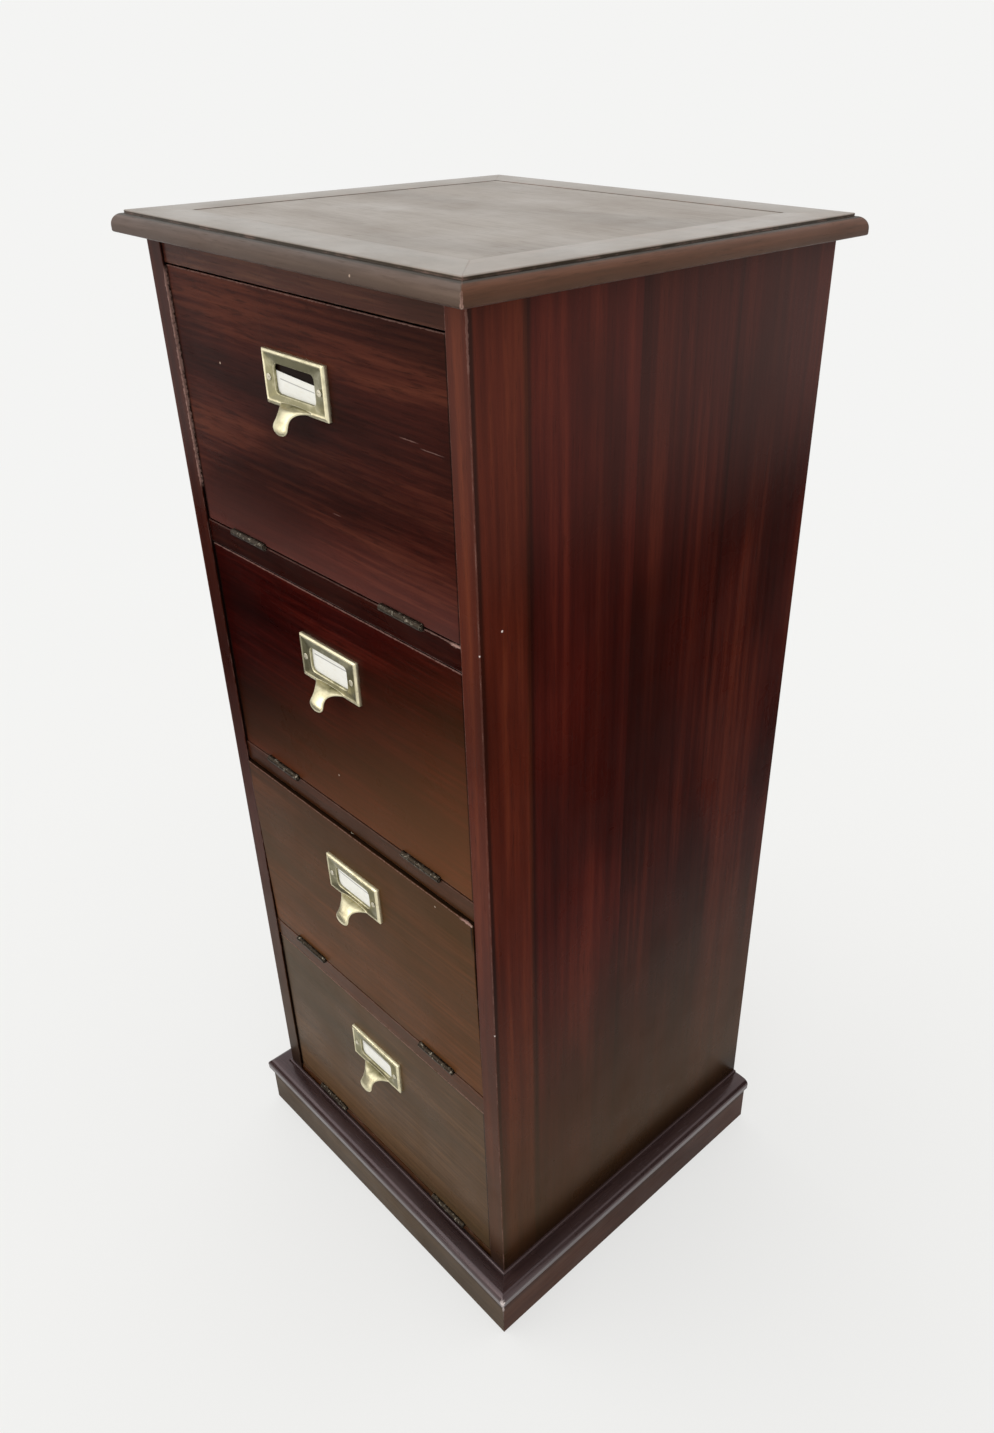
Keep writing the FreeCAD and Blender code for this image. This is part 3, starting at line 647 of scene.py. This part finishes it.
class CABINET_OT_top(bpy.types.Operator):
    """Moulded border boards of the top, mitred at the corners, and the panel inside them."""
    bl_idname = "cabinet.top"
    bl_label = "Top"

    def execute(self, context):
        low, high = TOP_LOW, TOP_HIGH
        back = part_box("top_border_back")[1][1] - TOP_REACH
        x, y = SIDE_FACE + TOP_REACH, FRONT_EDGE - TOP_REACH
        section = top_section()
        rubs = [((x, y, low), (x, y, low + 7.0 * MM), 1.6 * MM, 0.8),
                ((x - 1.0 * MM, y + 1.0 * MM, low + 6.0 * MM),
                 (x - 1.0 * MM, y + 1.0 * MM, high - 3.0 * MM), 1.2 * MM, 0.4)]
        chips = [(0.107, y, low + 5.5 * MM), (x, y, low + 0.5 * MM)]
        greyed = ((0.046, 0.026, 0.022), (0.090, 0.058, 0.050), (0.140, 0.098, 0.088))
        warm = ((0.044, 0.012, 0.006), (0.090, 0.029, 0.016), (0.140, 0.054, 0.033))
        # The panel's pale veneer is faded wood and partly a painted reflection of the bright surround
        veneer = ((0.185, 0.156, 0.135), (0.255, 0.224, 0.200), (0.310, 0.280, 0.253))
        for index, place in enumerate(("front", "back", "left", "right")):
            start, end, grain = mitred_board(place, back, 1)
            finish = mahogany("mahogany_top_" + place, grain, 11.3 + index, chips, rubs, top_fade_and_painted_light,
                              tones=warm if place == "right" else greyed, roughness=0.36, ribbon=90.0,
                              fleck=0.6, wear=0.6, gloss=0.5)
            piece = mitred_piece("border_board_" + place, section, start, end)
            stand_for(piece, "top_border_" + place, "case", finish)
        panel = mahogany("top_panel_wood", "xy", 21.7, tones=veneer, roughness=0.38, ribbon=20.0,
                         wear=0.0, gloss=1.0)
        set_finish(panel, "top_panel")
        return {"FINISHED"}


class CABINET_OT_case(bpy.types.Operator):
    """Polish on the side boards, rails and bottom, and bare wood inside and behind."""
    bl_idname = "cabinet.case"
    bl_label = "Case"

    def execute(self, context):
        side, front, inner_side = SIDE_FACE, FRONT_EDGE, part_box("flap_1")[1][0]
        low, high = SIDE_LOW[2], SIDE_HIGH[2]
        nicks = [(side, front, 0.770), (side, front, 0.403), (side, front + 21.0 * MM, 0.782)]

        def arris(x, start, end, width, strength):
            """A rubbed stretch of a front edge at one X."""
            return (x, front, start), (x, front, end), width, strength

        near_edge = [arris(side, high - 0.04, high, 1.3 * MM, 0.25),
                     arris(side, low, high, 1.2 * MM, 0.06),
                     arris(inner_side, 0.978, high, 1.6 * MM, 0.7),
                     arris(inner_side, low, 0.97, 1.2 * MM, 0.16)]
        far_edge = [arris(-inner_side, 0.80, 0.975, 3.4 * MM, 0.7), arris(-side, low, high, 1.0 * MM, 0.14)]
        ribbons = {"ribbon": 48.0, "ribbon_share": 0.5, "fleck": 0.3, "cloudy": 0.8, "wave": 0.002,
                   "fine": 150.0, "chip": (0.70, 0.58, 0.54),
                   "tones": ((0.023, 0.0029, 0.0020), (0.042, 0.0057, 0.0035), (0.074, 0.0128, 0.0064))}
        set_finish(mahogany("mahogany_side_right", "zy", 3.1, nicks, near_edge,
                            lambda *parts: glued_boards(*parts, (0.014, 0.008, 0.006)),
                            tint=(1.1, 1.05, 1.0), gloss=0.055, **ribbons), "side_right")
        set_finish(mahogany("mahogany_side_left", "zy", 5.9, (), far_edge,
                            lambda *parts: glued_boards(*parts, (0.0, 0.0, 0.0)),
                            tint=(0.6, 0.6, 0.65), gloss=0.06, **ribbons), "side_left")

        def lip(number, start, width, strength):
            """A rubbed stretch along a rail's upper edge, from one X to its right end."""
            rail_low, rail_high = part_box("rail_%d" % number)
            y, z = rail_low[1], rail_high[2]
            return (start, y, z), (inner_side, y, z), width, strength

        left_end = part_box("rail_1")[0][0]
        lips = [lip(number, left_end, 1.0 * MM, 0.14) for number in (1, 2, 3)]
        lips += [lip(1, inner_side - 45.0 * MM, 1.0 * MM, 0.4),
                 lip(1, inner_side - 12.0 * MM, 2.2 * MM, 0.95)]
        # Rails darkened as painted shade, with painted floor reflection towards the foot
        rails = mahogany("mahogany_rails", "xz", 8.4, (), lips,
                         lambda *parts: painted_floor_reflection(*parts, (0.036, 0.020, 0.006)), tint=(0.75, 0.7, 0.7))
        set_finish(rails, "rail_1", "rail_2", "rail_3", "bottom_board")
        # The top rail is brightened as painted light, where the top's overhang would shade it
        set_finish(mahogany("mahogany_top_rail", "xz", 9.7, tint=(1.7, 3.6, 4.0)), "top_rail_front")
        inner = plain_wood("inner_wood", "xy", 2.0, (0.30, 0.17, 0.09), (0.15, 0.08, 0.045))
        set_finish(inner, "shelf_1", "shelf_2", "shelf_3", "top_rail_back", "top_core", "plinth_back",
                   "glue_blocks", "flap_stops")
        back = plain_wood("back_wood", "zx", 6.0, (0.20, 0.105, 0.055), (0.09, 0.045, 0.025))
        set_finish(back, "back_boards")
        return {"FINISHED"}


class CABINET_OT_plinth(bpy.types.Operator):
    """Plinth boards and their moulded caps."""
    bl_idname = "cabinet.plinth"
    bl_label = "Plinth"

    def execute(self, context):
        section = cap_section()
        tip, foot = ((SIDE_FACE + reach, FRONT_EDGE - reach) for reach in (CAP_REACH, FASCIA_REACH))
        rubs = [((*tip, CAP_LOW + 3.0 * MM), (*tip, CAP_HIGH - 5.0 * MM), 3.4 * MM, 0.95),
                ((*foot, 37.0 * MM), (*foot, CAP_LOW - 3.0 * MM), 1.8 * MM, 0.9)]
        bare = (0.74, 0.64, 0.61)
        mauve = ((0.022, 0.010, 0.010), (0.040, 0.021, 0.019), (0.062, 0.036, 0.033))
        # The olive tones of the front and left boards are partly a painted reflection of the floor; the right
        # board is brown
        olive = ((0.056, 0.034, 0.017), (0.088, 0.054, 0.028), (0.114, 0.076, 0.042))
        brown = ((0.038, 0.012, 0.007), (0.062, 0.022, 0.012), (0.084, 0.037, 0.022))
        for index, place in enumerate(("front", "left", "right")):
            start, end, grain = mitred_board(place, BACK_EDGE, 0)
            finish = mahogany("mahogany_cap_" + place, grain, 31.0 + index, (), rubs, tones=mauve,
                              roughness=0.24, gloss=0.8, wear=0.0, bare=bare,
                              varnish=(0.92, 0.76, 0.80), arris=0.3 * MM)
            piece = mitred_piece("cap_moulding_" + place, section, start, end)
            stand_for(piece, "plinth_cap_" + place, "case", finish)
            board = mahogany("mahogany_plinth_" + place, grain[0] + "z", 35.0 + index, (), rubs, shade_under_cap,
                             tones=brown if place == "right" else olive, roughness=0.34, gloss=0.05,
                             wear=0.2, bare=bare)
            set_finish(board, "plinth_" + place)
        return {"FINISHED"}


class CABINET_OT_flaps(bpy.types.Operator):
    """Polish on the four fall flaps, each its own board."""
    bl_idname = "cabinet.flaps"
    bl_label = "Flaps"

    def execute(self, context):
        # Each flap's tint, gloss, painted floor reflection, that reflection's top, lean and depth, and the X
        # and Z of its chips
        looks = {
            1: ((1.05, 1.3, 1.35), 0.035, (0.062, 0.024, 0.020), (0.835, 0.0, 0.075), [(-0.110, 0.9135)]),
            2: ((0.8, 0.45, 0.5), 0.02, (0.102, 0.046, 0.018), (0.72, 0.45), [(-0.009, 0.574)]),
            3: ((0.9, 1.1, 0.9), 0.035, (0.054, 0.030, 0.009), (), [(0.124, 0.5055)]),
            4: ((0.9, 2.0, 2.0), 0.06, (0.048, 0.034, 0.014), (), []),
        }
        scratches = ((0.120, 0.9045, 0.016), (0.142, 0.9015, 0.020), (0.030, 0.8275, 0.006))
        for number, (tint, gloss, reflection_haze, reach, nicks) in looks.items():
            low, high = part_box("flap_%d" % number)
            y, top = low[1], high[2]
            chips = [(x, y, z) for x, z in nicks]
            rubs = [((low[0], y, top), (high[0], y, top), 0.9 * MM, 0.45)]
            if number == 1:
                rubs += [((x, y, z), (x + long, y, z), 0.45 * MM, 0.28) for x, z, long in scratches]
            if number == 3:
                chips.append((high[0] - 1.0 * MM, y, top - 1.0 * MM))
                rubs.append(((high[0] - 14.0 * MM, y, top), (high[0], y, top), 2.0 * MM, 0.9))
            finish = mahogany("mahogany_flap_%d" % number, "xz", 40.0 + 3.7 * number, chips, rubs,
                              flap_tone(number, reflection_haze, reach), tint=tint, gloss=gloss, ribbon=26.0, wave=0.005,
                              ribbon_share=0.5, fine=260.0, fleck=0.55, cloudy=0.9)
            set_finish(finish, "flap_%d" % number)
        return {"FINISHED"}


# Metal and paper

def aged_brass():
    """Dull polished brass: rubbed bright on its ridges, olive in its hollows, finely pitted."""
    brass = bpy.context.scene.cabinet_brass
    material, shader, _ = start_material("aged_brass")
    place = object_place(shader)
    cloud = noise(place, 90.0, 4.0, 0.6)
    fine = noise(place, 700.0, 3.0, 0.6)
    normal = soft_normal(shader, 0.5 * MM)
    hollow = node("ShaderNodeAttribute", {}, shader, attribute_name="hollow").outputs["Fac"]
    dull = calc("ADD", ramp(cloud, 0.40, 0.70, -0.1, 0.45), hollow, clamp=True)
    ridges = times(edge_mask(normal, 5.0), 0.6)
    base = layered(brass.clean, (dull, brass.dull), (ridges, (0.94, 0.89, 0.76)))
    rough = calc("MULTIPLY_ADD", fine, 0.12, ramp(cloud, 0.3, 0.7, 0.24, 0.42))
    relief = calc("MULTIPLY_ADD", fine, 0.4, cloud)
    set_surface(shader, base, rough, relief, 0.3, 0.15 * MM, normal, Metallic=1.0)
    return material


def dark_metal(name, dark, bright, share_bright):
    """Blackened metal with the finish rubbed off in small patches."""
    material, shader, _ = start_material(name)
    patch = noise(object_place(shader), 320.0, 4.0, 0.7)
    normal = soft_normal(shader, 0.5 * MM)
    worn = ramp(calc("MULTIPLY_ADD", edge_mask(normal, 5.0), 0.14, patch), 0.57, 0.68, 0.0, share_bright)
    set_surface(shader, blend(worn, dark, bright), ramp(patch, 0.3, 0.7, 0.38, 0.62), patch, 0.5, 0.2 * MM,
                normal, Metallic=0.85)
    return material


def card_paper():
    """Aged card: faint fibres and foxing, with one ruled line across it."""
    cards = bpy.context.scene.cabinet_cards
    material, shader, _ = start_material("card_paper")
    place = node("ShaderNodeUVMap", {}, shader, uv_map="card").outputs[0]
    x, y, _ = split(place)
    fibres = noise(place, 60.0, 4.0, 0.7)
    foxing = noise(place, 6.0, 3.0, 0.6)
    dots = ramp(calc("PINGPONG", x, 0.012), 0.0, 0.01, 1.0, 0.5)
    rule = times(fall(away_from(y, 0.72), 0.014, 0.03), dots, fall(away_from(x, 0.5), 0.40, 0.41, 0.75))
    base = layered(cards.paper, (ramp(foxing, 0.5, 0.8, 0.0, 0.35), (0.80, 0.72, 0.55)),
                   (ramp(fibres, 0.4, 0.7, 0.0, 0.2), (0.7, 0.65, 0.55)), (rule, cards.ink))
    set_surface(shader, base, ramp(fibres, 0.3, 0.7, 0.6, 0.8), fibres, 0.2, 0.1 * MM)
    return material


def frame_brass():
    """The brass of the frames and catches, made once."""
    return bpy.data.materials.get("aged_brass") or aged_brass()


class CABINET_OT_hardware(bpy.types.Operator):
    """Darkened hinges and screws, and the brass of the catches."""
    bl_idname = "cabinet.hardware"
    bl_label = "Hinges and screws"

    def execute(self, context):
        hinge = dark_metal("hinge_metal", (0.040, 0.029, 0.019), (0.55, 0.50, 0.40), 0.7)
        screw = dark_metal("screw_steel", (0.05, 0.045, 0.04), (0.35, 0.33, 0.3), 0.6)
        bright = dark_metal("frame_screw_steel", (0.62, 0.58, 0.46), (0.95, 0.93, 0.85), 0.9)
        set_finish(hinge, "hinge_leaves_fixed", "hinge_pins")
        set_finish(screw, "hinge_screws_fixed")
        set_finish(frame_brass(), "catch_strikes")
        for finish, piece in ((hinge, "hinge_leaves_%d"), (screw, "hinge_screws_%d"),
                              (frame_brass(), "ball_catch_%d"), (bright, "frame_screws_%d")):
            set_finish(finish, *(piece % number for number in FLAPS))
        return {"FINISHED"}


# Card frames

def rounded_rectangle(half_x, half_z, radius, per_corner=5, per_side=6):
    """Points round a rectangle, as many for every size: four quarter circles and the lines between."""
    corners = ((1, 1), (-1, 1), (-1, -1), (1, -1))
    arcs = [arc((sx * (half_x - radius), sz * (half_z - radius)), radius, 90 * i, 90 * i + 90, per_corner)
            for i, (sx, sz) in enumerate(corners)]
    t = np.linspace(0, 1, per_side + 2)[1:-1, None]
    loop = []
    for here, following in zip(arcs, arcs[1:] + arcs[:1]):
        loop += [here, here[-1] + (following[0] - here[-1]) * t]
    return np.concatenate(loop)


def frame_plate(settings, outer):
    """The frame's plate as rings: from the card pocket round the window and field to the rim and back.

    Each ring is a rounded rectangle with its own height out of the flap, so the surface is a
    section carried round the window. Also gives how hollow each point lies.
    """
    rim, field = settings.rim_height, settings.field_height
    bevel, corner = settings.bevel, settings.window_corner
    # Each ring's rectangle, how far it's grown, its corners' radius and its height
    stations = [
        (WINDOW_HALF, 3.0 * MM, 0.5 * MM, 0.0),
        (WINDOW_HALF, 3.0 * MM, 0.5 * MM, 1.0 * MM),
        (WINDOW_HALF, 0.0, corner, 1.0 * MM),
        (WINDOW_HALF, 0.0, corner, field - 0.9 * MM),
        (WINDOW_HALF, 0.3 * MM, corner, field - 0.3 * MM),
        (WINDOW_HALF, 0.9 * MM, corner + 0.6 * MM, field),
        (outer, -bevel - 2.2 * MM, 1.5 * MM, field),
        (outer, -bevel - 1.1 * MM, 1.0 * MM, rim - 0.15 * MM),
        (outer, -bevel - 0.5 * MM, 0.8 * MM, rim),
        (outer, -bevel, 0.8 * MM, rim - 0.1 * MM),
        (outer, -0.2 * MM, 0.8 * MM, rim - 1.1 * MM),
        (outer, 0.0, 0.8 * MM, rim - 1.5 * MM),
        (outer, 0.0, 0.8 * MM, 0.0),
    ]
    # The rim sits a little high, so the bevel is narrow above it and broad below
    raised_rings, lift = range(6, 10), 0.6 * MM
    rings = []
    for index, (half, grown, radius, out) in enumerate(stations):
        loop = rounded_rectangle(half[0] + grown, half[1] + grown, radius)
        loop[:, 1] += lift if index in raised_rings else 0.0
        rings.append(np.stack([loop[:, 0], np.full(len(loop), -out), loop[:, 1]], -1))
    points = np.array(rings)
    rows, columns = points.shape[:2]
    hollows = np.interp(range(rows), (0, 3, 4, 5, 6, 7), (1.0, 0.8, 0.3, 0.8, 1.0, 0.0))
    faces = grid_faces(rows, columns, closed_rows=True, closed_columns=True)
    return points, faces, np.repeat(hollows, columns)


def pull_tongue(settings, top):
    """The finger pull: an oval section carried out and down, waisted, with a round bulb at its tip.

    The middle line runs out as a sine and down as a square of the way along, and rises a little
    near the root. Width eases from the root to the waist and out again to the tip, and both width
    and thickness close there as a quarter circle does. The face is crowned across. Also gives how
    dirty each point is.
    """
    t = np.linspace(0.0, 1.0, 56)
    round_off = np.sqrt(np.clip(1.0 - ((t - 0.80) / 0.20).clip(0, 1) ** 2, 0.0, 1.0))
    out = 1.8 * MM + (PULL_REACH - 3.0 * MM) * np.sin(t * np.pi / 2) ** 0.95
    root_rise = 1.4 * MM * np.sin(np.pi * (t * 1.6).clip(0, 1))
    down = top + 2.2 * MM - (PULL_DROP + 2.2 * MM) * t ** 2.0 + root_rise
    waist, tip = settings.waist / 2, settings.tip / 2
    ease = (1 - t / 0.66).clip(0, 1) ** 2.0
    bulb = np.sin(np.pi / 2 * ((t - 0.45) / 0.35).clip(0, 1)) ** 2
    half_width = (waist + (PULL_ROOT / 2 - waist) * ease + (tip - waist) * bulb) * round_off
    half_thick = (1.9 + 0.5 * bulb) * MM * round_off
    slope_y, slope_z = np.gradient(-out), np.gradient(down)
    size = np.hypot(slope_y, slope_z)
    normal = np.stack([np.zeros_like(t), slope_z / size, -slope_y / size], -1)
    a = np.linspace(0, 2 * np.pi, 36, endpoint=False)
    across, through = np.cos(a), np.sign(np.sin(a)) * np.abs(np.sin(a)) ** 0.85
    line = np.stack([np.zeros_like(t), -out, down], -1)
    points = line[:, None, :] + normal[:, None, :] * (through * half_thick[:, None])[..., None]
    points[..., 0] += across * half_width[:, None]
    dirt_and_shade = np.interp(t, (0.0, 0.25, 0.42, 0.6), (0.8, 0.65, 0.3, 0.05))
    dirt_and_shade = dirt_and_shade[:, None] * (1 - 0.5 * np.abs(across))
    return points, tube_faces(*points.shape[:2]), dirt_and_shade.ravel()


class CABINET_OT_card_frames(bpy.types.Operator):
    """Cast brass card frames with their finger pulls."""
    bl_idname = "cabinet.card_frames"
    bl_label = "Card frames"

    def execute(self, context):
        settings = context.scene.cabinet_brass
        for number in FLAPS:
            low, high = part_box("card_frame_%d" % number)
            plate, faces, hollow = frame_plate(settings, ((high[0] - low[0]) / 2, FRAME_HALF_HEIGHT))
            tongue, tongue_faces, dirt_and_shade = pull_tongue(settings, -FRAME_HALF_HEIGHT)
            start = plate.shape[0] * plate.shape[1]
            faces += [[i + start for i in face] for face in tongue_faces]
            points = np.concatenate([plate.reshape(-1, 3), tongue.reshape(-1, 3)])
            points = turn_about(points + frame_middle(number), *hinge_place(number))
            piece = make_mesh("card_frame_cast_%d" % number, points, faces, 40.0)
            point_outwards(piece)
            mask = piece.data.attributes.new("hollow", "FLOAT", "POINT")
            mask.data.foreach_set("value", np.concatenate([hollow, dirt_and_shade]))
            stand_for(piece, "card_frame_%d" % number, "fall_flap_%d" % number, frame_brass())
        return {"FINISHED"}


# Cards

def card_sheet(half_x, half_z, thickness, tilt, shift):
    """A card as a thin closed sheet, bowed across as a parabola, tilted and moved in its pocket."""
    uu, vv = np.meshgrid(np.linspace(-1, 1, 17), np.linspace(-1, 1, 9), indexing="ij")
    angle = np.radians(tilt)
    x, z = uu * half_x, vv * half_z
    xx = x * np.cos(angle) - z * np.sin(angle) + shift[0]
    zz = x * np.sin(angle) + z * np.cos(angle) + shift[1]
    bow, level = -0.25 * MM, 0.35 * MM
    belly = bow * (1 - uu ** 2) - level
    front, behind = (np.stack([xx, y, zz], -1) for y in (belly - thickness, belly))
    return front, behind, (uu + 1) / 2, (vv + 1) / 2


def card_mesh(name, front, behind, u, v, place, pivot, lean):
    """The card's mesh with its own UV map, front and back joined round the edge."""
    rows, columns = front.shape[:2]
    points = np.concatenate([front.reshape(-1, 3), behind.reshape(-1, 3)]) + place
    half = rows * columns
    faces = grid_faces(rows, columns) + grid_faces(rows, columns, start=half, flip=True)
    index = np.arange(half).reshape(rows, columns)
    ring = np.concatenate([index[0], index[1:, -1], index[-1, -2::-1], index[-2:0:-1, 0]]).tolist()
    faces += [[a, b, b + half, a + half] for a, b in zip(ring, ring[1:] + ring[:1])]
    piece = make_mesh(name, turn_about(points, pivot, lean), faces, 60.0)
    point_outwards(piece)
    layer = piece.data.uv_layers.new(name="card")
    where = np.empty(len(piece.data.loops), np.int32)
    piece.data.loops.foreach_get("vertex_index", where)
    flat = np.stack([np.tile(u.ravel(), 2), np.tile(v.ravel(), 2)], -1)
    layer.data.foreach_set("uv", flat[where].ravel())
    return piece


class CABINET_OT_cards(bpy.types.Operator):
    """Ruled paper cards in the frames; the first has slipped and tilted in its pocket."""
    bl_idname = "cabinet.cards"
    bl_label = "Cards"

    def execute(self, context):
        settings = context.scene.cabinet_cards
        finish = card_paper()
        # Each card's tilt in degrees, its shift across and up, and half its width and height
        slips = {1: (-3.0, 0.0, -5.2, 27.2, 9.2), 2: (0.8, 0.3, -0.4, 28.6, 13.4),
                 3: (-0.6, -0.4, -0.6, 28.6, 13.4), 4: (0.5, 0.2, -0.2, 28.6, 13.4)}
        for number, (tilt, across, up, half_x, half_z) in slips.items():
            shift = (across * MM, up * MM)
            sheet = card_sheet(half_x * MM, half_z * MM, settings.thickness, tilt, shift)
            piece = card_mesh("card_sheet_%d" % number, *sheet, frame_middle(number), *hinge_place(number))
            stand_for(piece, "card_%d" % number, "fall_flap_%d" % number, finish)
        return {"FINISHED"}


# Stage

def floor_grid(half, steps):
    """A flat square floor as a grid just below the plane of the plinth's foot."""
    line = np.linspace(-half, half, steps)
    xx, yy = np.meshgrid(line, line, indexing="ij")
    return np.stack([xx, yy, np.full_like(xx, -0.2 * MM)], -1)


def floor_finish(settings):
    """Plain pale floor with a faint unevenness, filled with white for all but scattered light.

    The fill grows with the distance from the object, where the floor meets the surround.
    """
    material, shader, output = start_material("floor_paint")
    place = object_place(shader)
    cloud = ramp(noise(place, 1.5, 3.0, 0.5), 0.35, 0.65)
    feed(shader, {"Base Color": blend(cloud, settings.floor, scaled(settings.floor, 0.985)), "Roughness": 0.7,
                  "Specular IOR Level": 0.2})
    away = node("ShaderNodeVectorMath", {0: place}, operation="LENGTH").outputs["Value"]
    fill = ramp(away, 0.7, 3.0, settings.lift, 1.0, smooth=True)
    rays = node("ShaderNodeLightPath", {}, shader).outputs
    seen = largest(rays["Is Camera Ray"], rays["Is Glossy Ray"], rays["Is Transmission Ray"])
    white = node("ShaderNodeEmission", {0: (*settings.sky, 1.0), 1: 1.0}, shader)
    both = node("ShaderNodeMixShader", {0: times(fill, seen), 1: shader.outputs[0], 2: white.outputs[0]})
    feed(output, {0: both.outputs[0]})
    return material


def flag(name, start, end, low, high, light):
    """An upright card outside the picture, dark or bright, that is only seen in the polish."""
    card = make_mesh(name, [(*start, low), (*end, low), (*end, high), (*start, high)], [[0, 1, 2, 3]])
    material, shader, output = start_material(name)
    shade = node("ShaderNodeEmission", {0: (light, light * 0.95, light * 0.9, 1.0), 1: 1.0}, shader)
    feed(output, {0: shade.outputs[0]})
    card.data.materials.append(material)
    card.visible_camera = card.visible_diffuse = card.visible_shadow = False


class CABINET_OT_stage(bpy.types.Operator):
    """Pale floor, soft light all round, a soft key light and the camera."""
    bl_idname = "cabinet.stage"
    bl_label = "Stage"

    def execute(self, context):
        settings = context.scene.cabinet_stage
        floor_half, floor_steps = 30.0, 9
        floor = make_mesh("floor", floor_grid(floor_half, floor_steps),
                          grid_faces(floor_steps, floor_steps, flip=True))
        floor.data.materials.append(floor_finish(settings))
        world = bpy.data.worlds.new("surround")
        world.use_nodes = True
        background = next(n for n in world.node_tree.nodes if n.type == "BACKGROUND")
        feed(background, {0: (*settings.sky, 1.0), 1: 1.0})
        context.scene.world = world
        lamp = bpy.data.lights.new("key_light", "SUN")
        lamp.energy = settings.sun
        lamp.angle = np.radians(50.0)
        key = bpy.data.objects.new("key_light", lamp)
        key.rotation_euler = Vector((0.55, 0.35, -1.0)).to_track_quat("-Z", "Y").to_euler()
        context.scene.collection.objects.link(key)
        flag("flag_front", (-1.4, -0.35), (-0.2, -0.77), 0.0, 0.56, 0.02)
        flag("flag_side", (0.55, 0.0), (0.55, 1.2), 0.0, 0.62, 0.02)
        flag("window", (-1.7, -1.9), (-0.2, -2.6), 0.6, 2.4, 3.0)
        lens = bpy.data.cameras.new("camera")
        lens.sensor_fit = "HORIZONTAL"
        lens.sensor_width = 36.0
        lens.lens = settings.lens
        lens.shift_x, lens.shift_y = -0.0573, 0.0203
        camera = bpy.data.objects.new("camera", lens)
        camera.location = (0.7130, -0.6176, 1.1254)
        pitch_down, heading = 31.90, 45.83
        camera.rotation_euler = (np.radians(90.0 - pitch_down), 0.0, np.radians(heading))
        context.scene.collection.objects.link(camera)
        context.scene.camera = camera
        context.scene.view_settings.view_transform = "Standard"
        return {"FINISHED"}


OPERATORS = (CABINET_OT_top, CABINET_OT_case, CABINET_OT_plinth, CABINET_OT_flaps, CABINET_OT_hardware,
             CABINET_OT_card_frames, CABINET_OT_cards, CABINET_OT_stage)
GROUPS = {"cabinet_wood": CabinetWood, "cabinet_brass": CabinetBrass, "cabinet_cards": CabinetCards,
          "cabinet_stage": CabinetStage}


class CABINET_PT_looks(bpy.types.Panel):
    """Lists the cabinet's settings and the steps that make it."""
    bl_idname = "CABINET_PT_looks"
    bl_label = "Sorting cabinet"
    bl_space_type = "VIEW_3D"
    bl_region_type = "UI"
    bl_category = "Cabinet"

    def draw(self, context):
        for key, group in GROUPS.items():
            box = self.layout.box()
            for name in group.__annotations__:
                box.prop(getattr(context.scene, key), name)
        for operator in OPERATORS:
            self.layout.operator(operator.bl_idname)


def register():
    """Registers the classes and hangs the settings on the scene."""
    for group in (*GROUPS.values(), *OPERATORS, CABINET_PT_looks):
        bpy.utils.register_class(group)
    for key, group in GROUPS.items():
        setattr(bpy.types.Scene, key, bpy.props.PointerProperty(type=group))


def unregister():
    """Takes the settings and classes away again."""
    for key in GROUPS:
        delattr(bpy.types.Scene, key)
    for group in (CABINET_PT_looks, *reversed(OPERATORS), *GROUPS.values()):
        bpy.utils.unregister_class(group)


def main():
    """Dresses the cabinet."""
    register()
    for operator in OPERATORS:
        group, name = operator.bl_idname.split(".")
        getattr(getattr(bpy.ops, group), name)()


if __name__ == "__main__":
    main()
